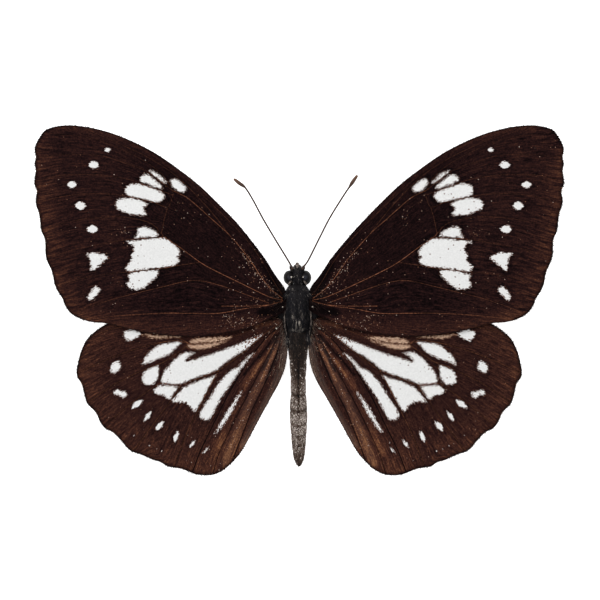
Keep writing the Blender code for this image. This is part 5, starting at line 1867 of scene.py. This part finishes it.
@dataclass
class Leg:
    """One folded leg: thigh, shin and thin foot, with bristles."""

    word: str
    side: Side
    line: Line
    radii: tuple[float, ...]
    slot: str
    finish: Finish

    def build(self) -> None:
        """Makes the leg with knees thinner than its segments, and its bristles."""
        line = spline(mirrored(self.line, self.side), 0.16)
        knots = np.array(mirrored(self.line, self.side), float)
        knot_at = to_line_3d(knots, line)
        run = np.append(0.0, np.cumsum(np.linalg.norm(np.diff(line, axis=0), axis=1)))
        radii = np.interp(run, knot_at, self.radii)
        for at in knot_at[1:-1]:
            radii *= 1 - 0.28 * np.exp(-(((run - at) / 0.22) ** 2))
        corners, faces, comb = tube(line, radii, 16)
        corners[:, 2] = np.maximum(corners[:, 2], 0.01)
        plain = np.ones(len(corners))
        name = f"{self.word}_{self.side.word}"
        skin = make_object(f"{name}_skin", lean(corners), faces, {
            "coat": fade(corners[:, 2], 0.3, 0.5), "comb": comb, "tint": LEG_TINT * plain,
        }, self.finish.material())
        hand_in(skin, self.slot, name)
        Coat(f"{name}_bristles", Strand.HAIR, BODY_HAIR, self.slot, density=22, length=0.34,
             slimness=0.05, lift=0.5, spread=0.15, seed=41).grow_on(skin)


def to_line_3d(points: Array, line: Array) -> Array:
    """How far along a line of points each of some of its own points lies, in mm."""
    run = np.append(0.0, np.cumsum(np.linalg.norm(np.diff(line, axis=0), axis=1)))
    return np.array([run[np.argmin(np.linalg.norm(line - p, axis=1))] for p in points])


# Studio


@dataclass(frozen=True)
class Studio:
    """A pale lit table, soft light and a long lens straight above."""

    floor_side: float = 1.6
    lens: float = 200.0
    sensor: float = 36.0
    view_width: float = 0.1
    subject_height: float = 0.0055
    aim: tuple[float, float] = (0.8 / 6 * 0.001, 0.7 / 6 * 0.001)
    world_strength: float = 0.7
    key_power: float = 1.0
    key_size: float = 0.28
    key_place: tuple[float, float, float] = (-0.2, 0.22, 0.42)
    floor_height: float = -0.02

    def build(self) -> None:
        """Adds the floor, the world, the key light and the camera."""
        half = self.floor_side / 2 / MM
        corners = np.array([(x * half, y * half, self.floor_height)
                            for x, y in ((-1, -1), (1, -1), (1, 1), (-1, 1))])
        floor = make_object("studio_floor", corners, [(0, 1, 2, 3)], None, PAPER.material(), False)
        world = bpy.data.worlds.new("soft_studio")
        world.use_nodes = True
        feed(world.node_tree, world.node_tree.nodes["Background"], {
            "Color": linear("#FFFFFF"), "Strength": self.world_strength})
        bpy.context.scene.world = world
        light = bpy.data.lights.new("key_softbox", "AREA")
        light.shape = "DISK"
        light.size = self.key_size
        light.energy = self.key_power
        lamp = bpy.data.objects.new("key_softbox", light)
        lamp.location = self.key_place
        lamp.rotation_euler = (Vector((0, 0, 0)) - lamp.location).to_track_quat("-Z", "Y").to_euler()
        bpy.context.scene.collection.objects.link(lamp)
        camera = bpy.data.cameras.new("overhead_camera")
        camera.lens = self.lens
        camera.sensor_width = self.sensor
        camera.clip_start, camera.clip_end = 0.01, 10.0
        eye = bpy.data.objects.new("overhead_camera", camera)
        away = self.view_width * self.lens / self.sensor
        eye.location = (*self.aim, self.subject_height + away)
        bpy.context.scene.collection.objects.link(eye)
        bpy.context.scene.camera = eye
        bpy.context.scene.view_settings.view_transform = "Standard"


def main() -> None:
    """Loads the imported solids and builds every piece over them."""
    logging.basicConfig(level=logging.INFO, format="%(name)s: %(message)s")
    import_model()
    Studio().build()
    ringed_tree()
    Hindwing("hindwing", "hindwing_scales", HINDWING_SCALES, HIND_OUTLINE, HIND_TERMEN, HIND_VEINS,
             HIND_BANDS, seed=7, hub=(1.2, -3.4)).build()
    Forewing("forewing", "forewing_scales", FOREWING_SCALES, FORE_OUTLINE, FORE_TERMEN, FORE_VEINS,
             FORE_BANDS, seed=3).build()
    Thorax().build()
    Head().build()
    Abdomen().build()
    Proboscis().build()
    for side in Side:
        for pad in PADS:
            pad.build(side)
        Eye(side).build()
        Antenna(side).build()
        Palp(side).build()
        Leg("foreleg", side, FORELEG_LINE, FORELEG_RADII, "body_fur", BODY_SKIN).build()
        for word, line in (("midleg", MIDLEG_LINE), ("hindleg", HINDLEG_LINE)):
            Leg(word, side, line, LEG_RADII, "leg_horn", LEG_SKIN).build()


if __name__ == "__main__":
    main()
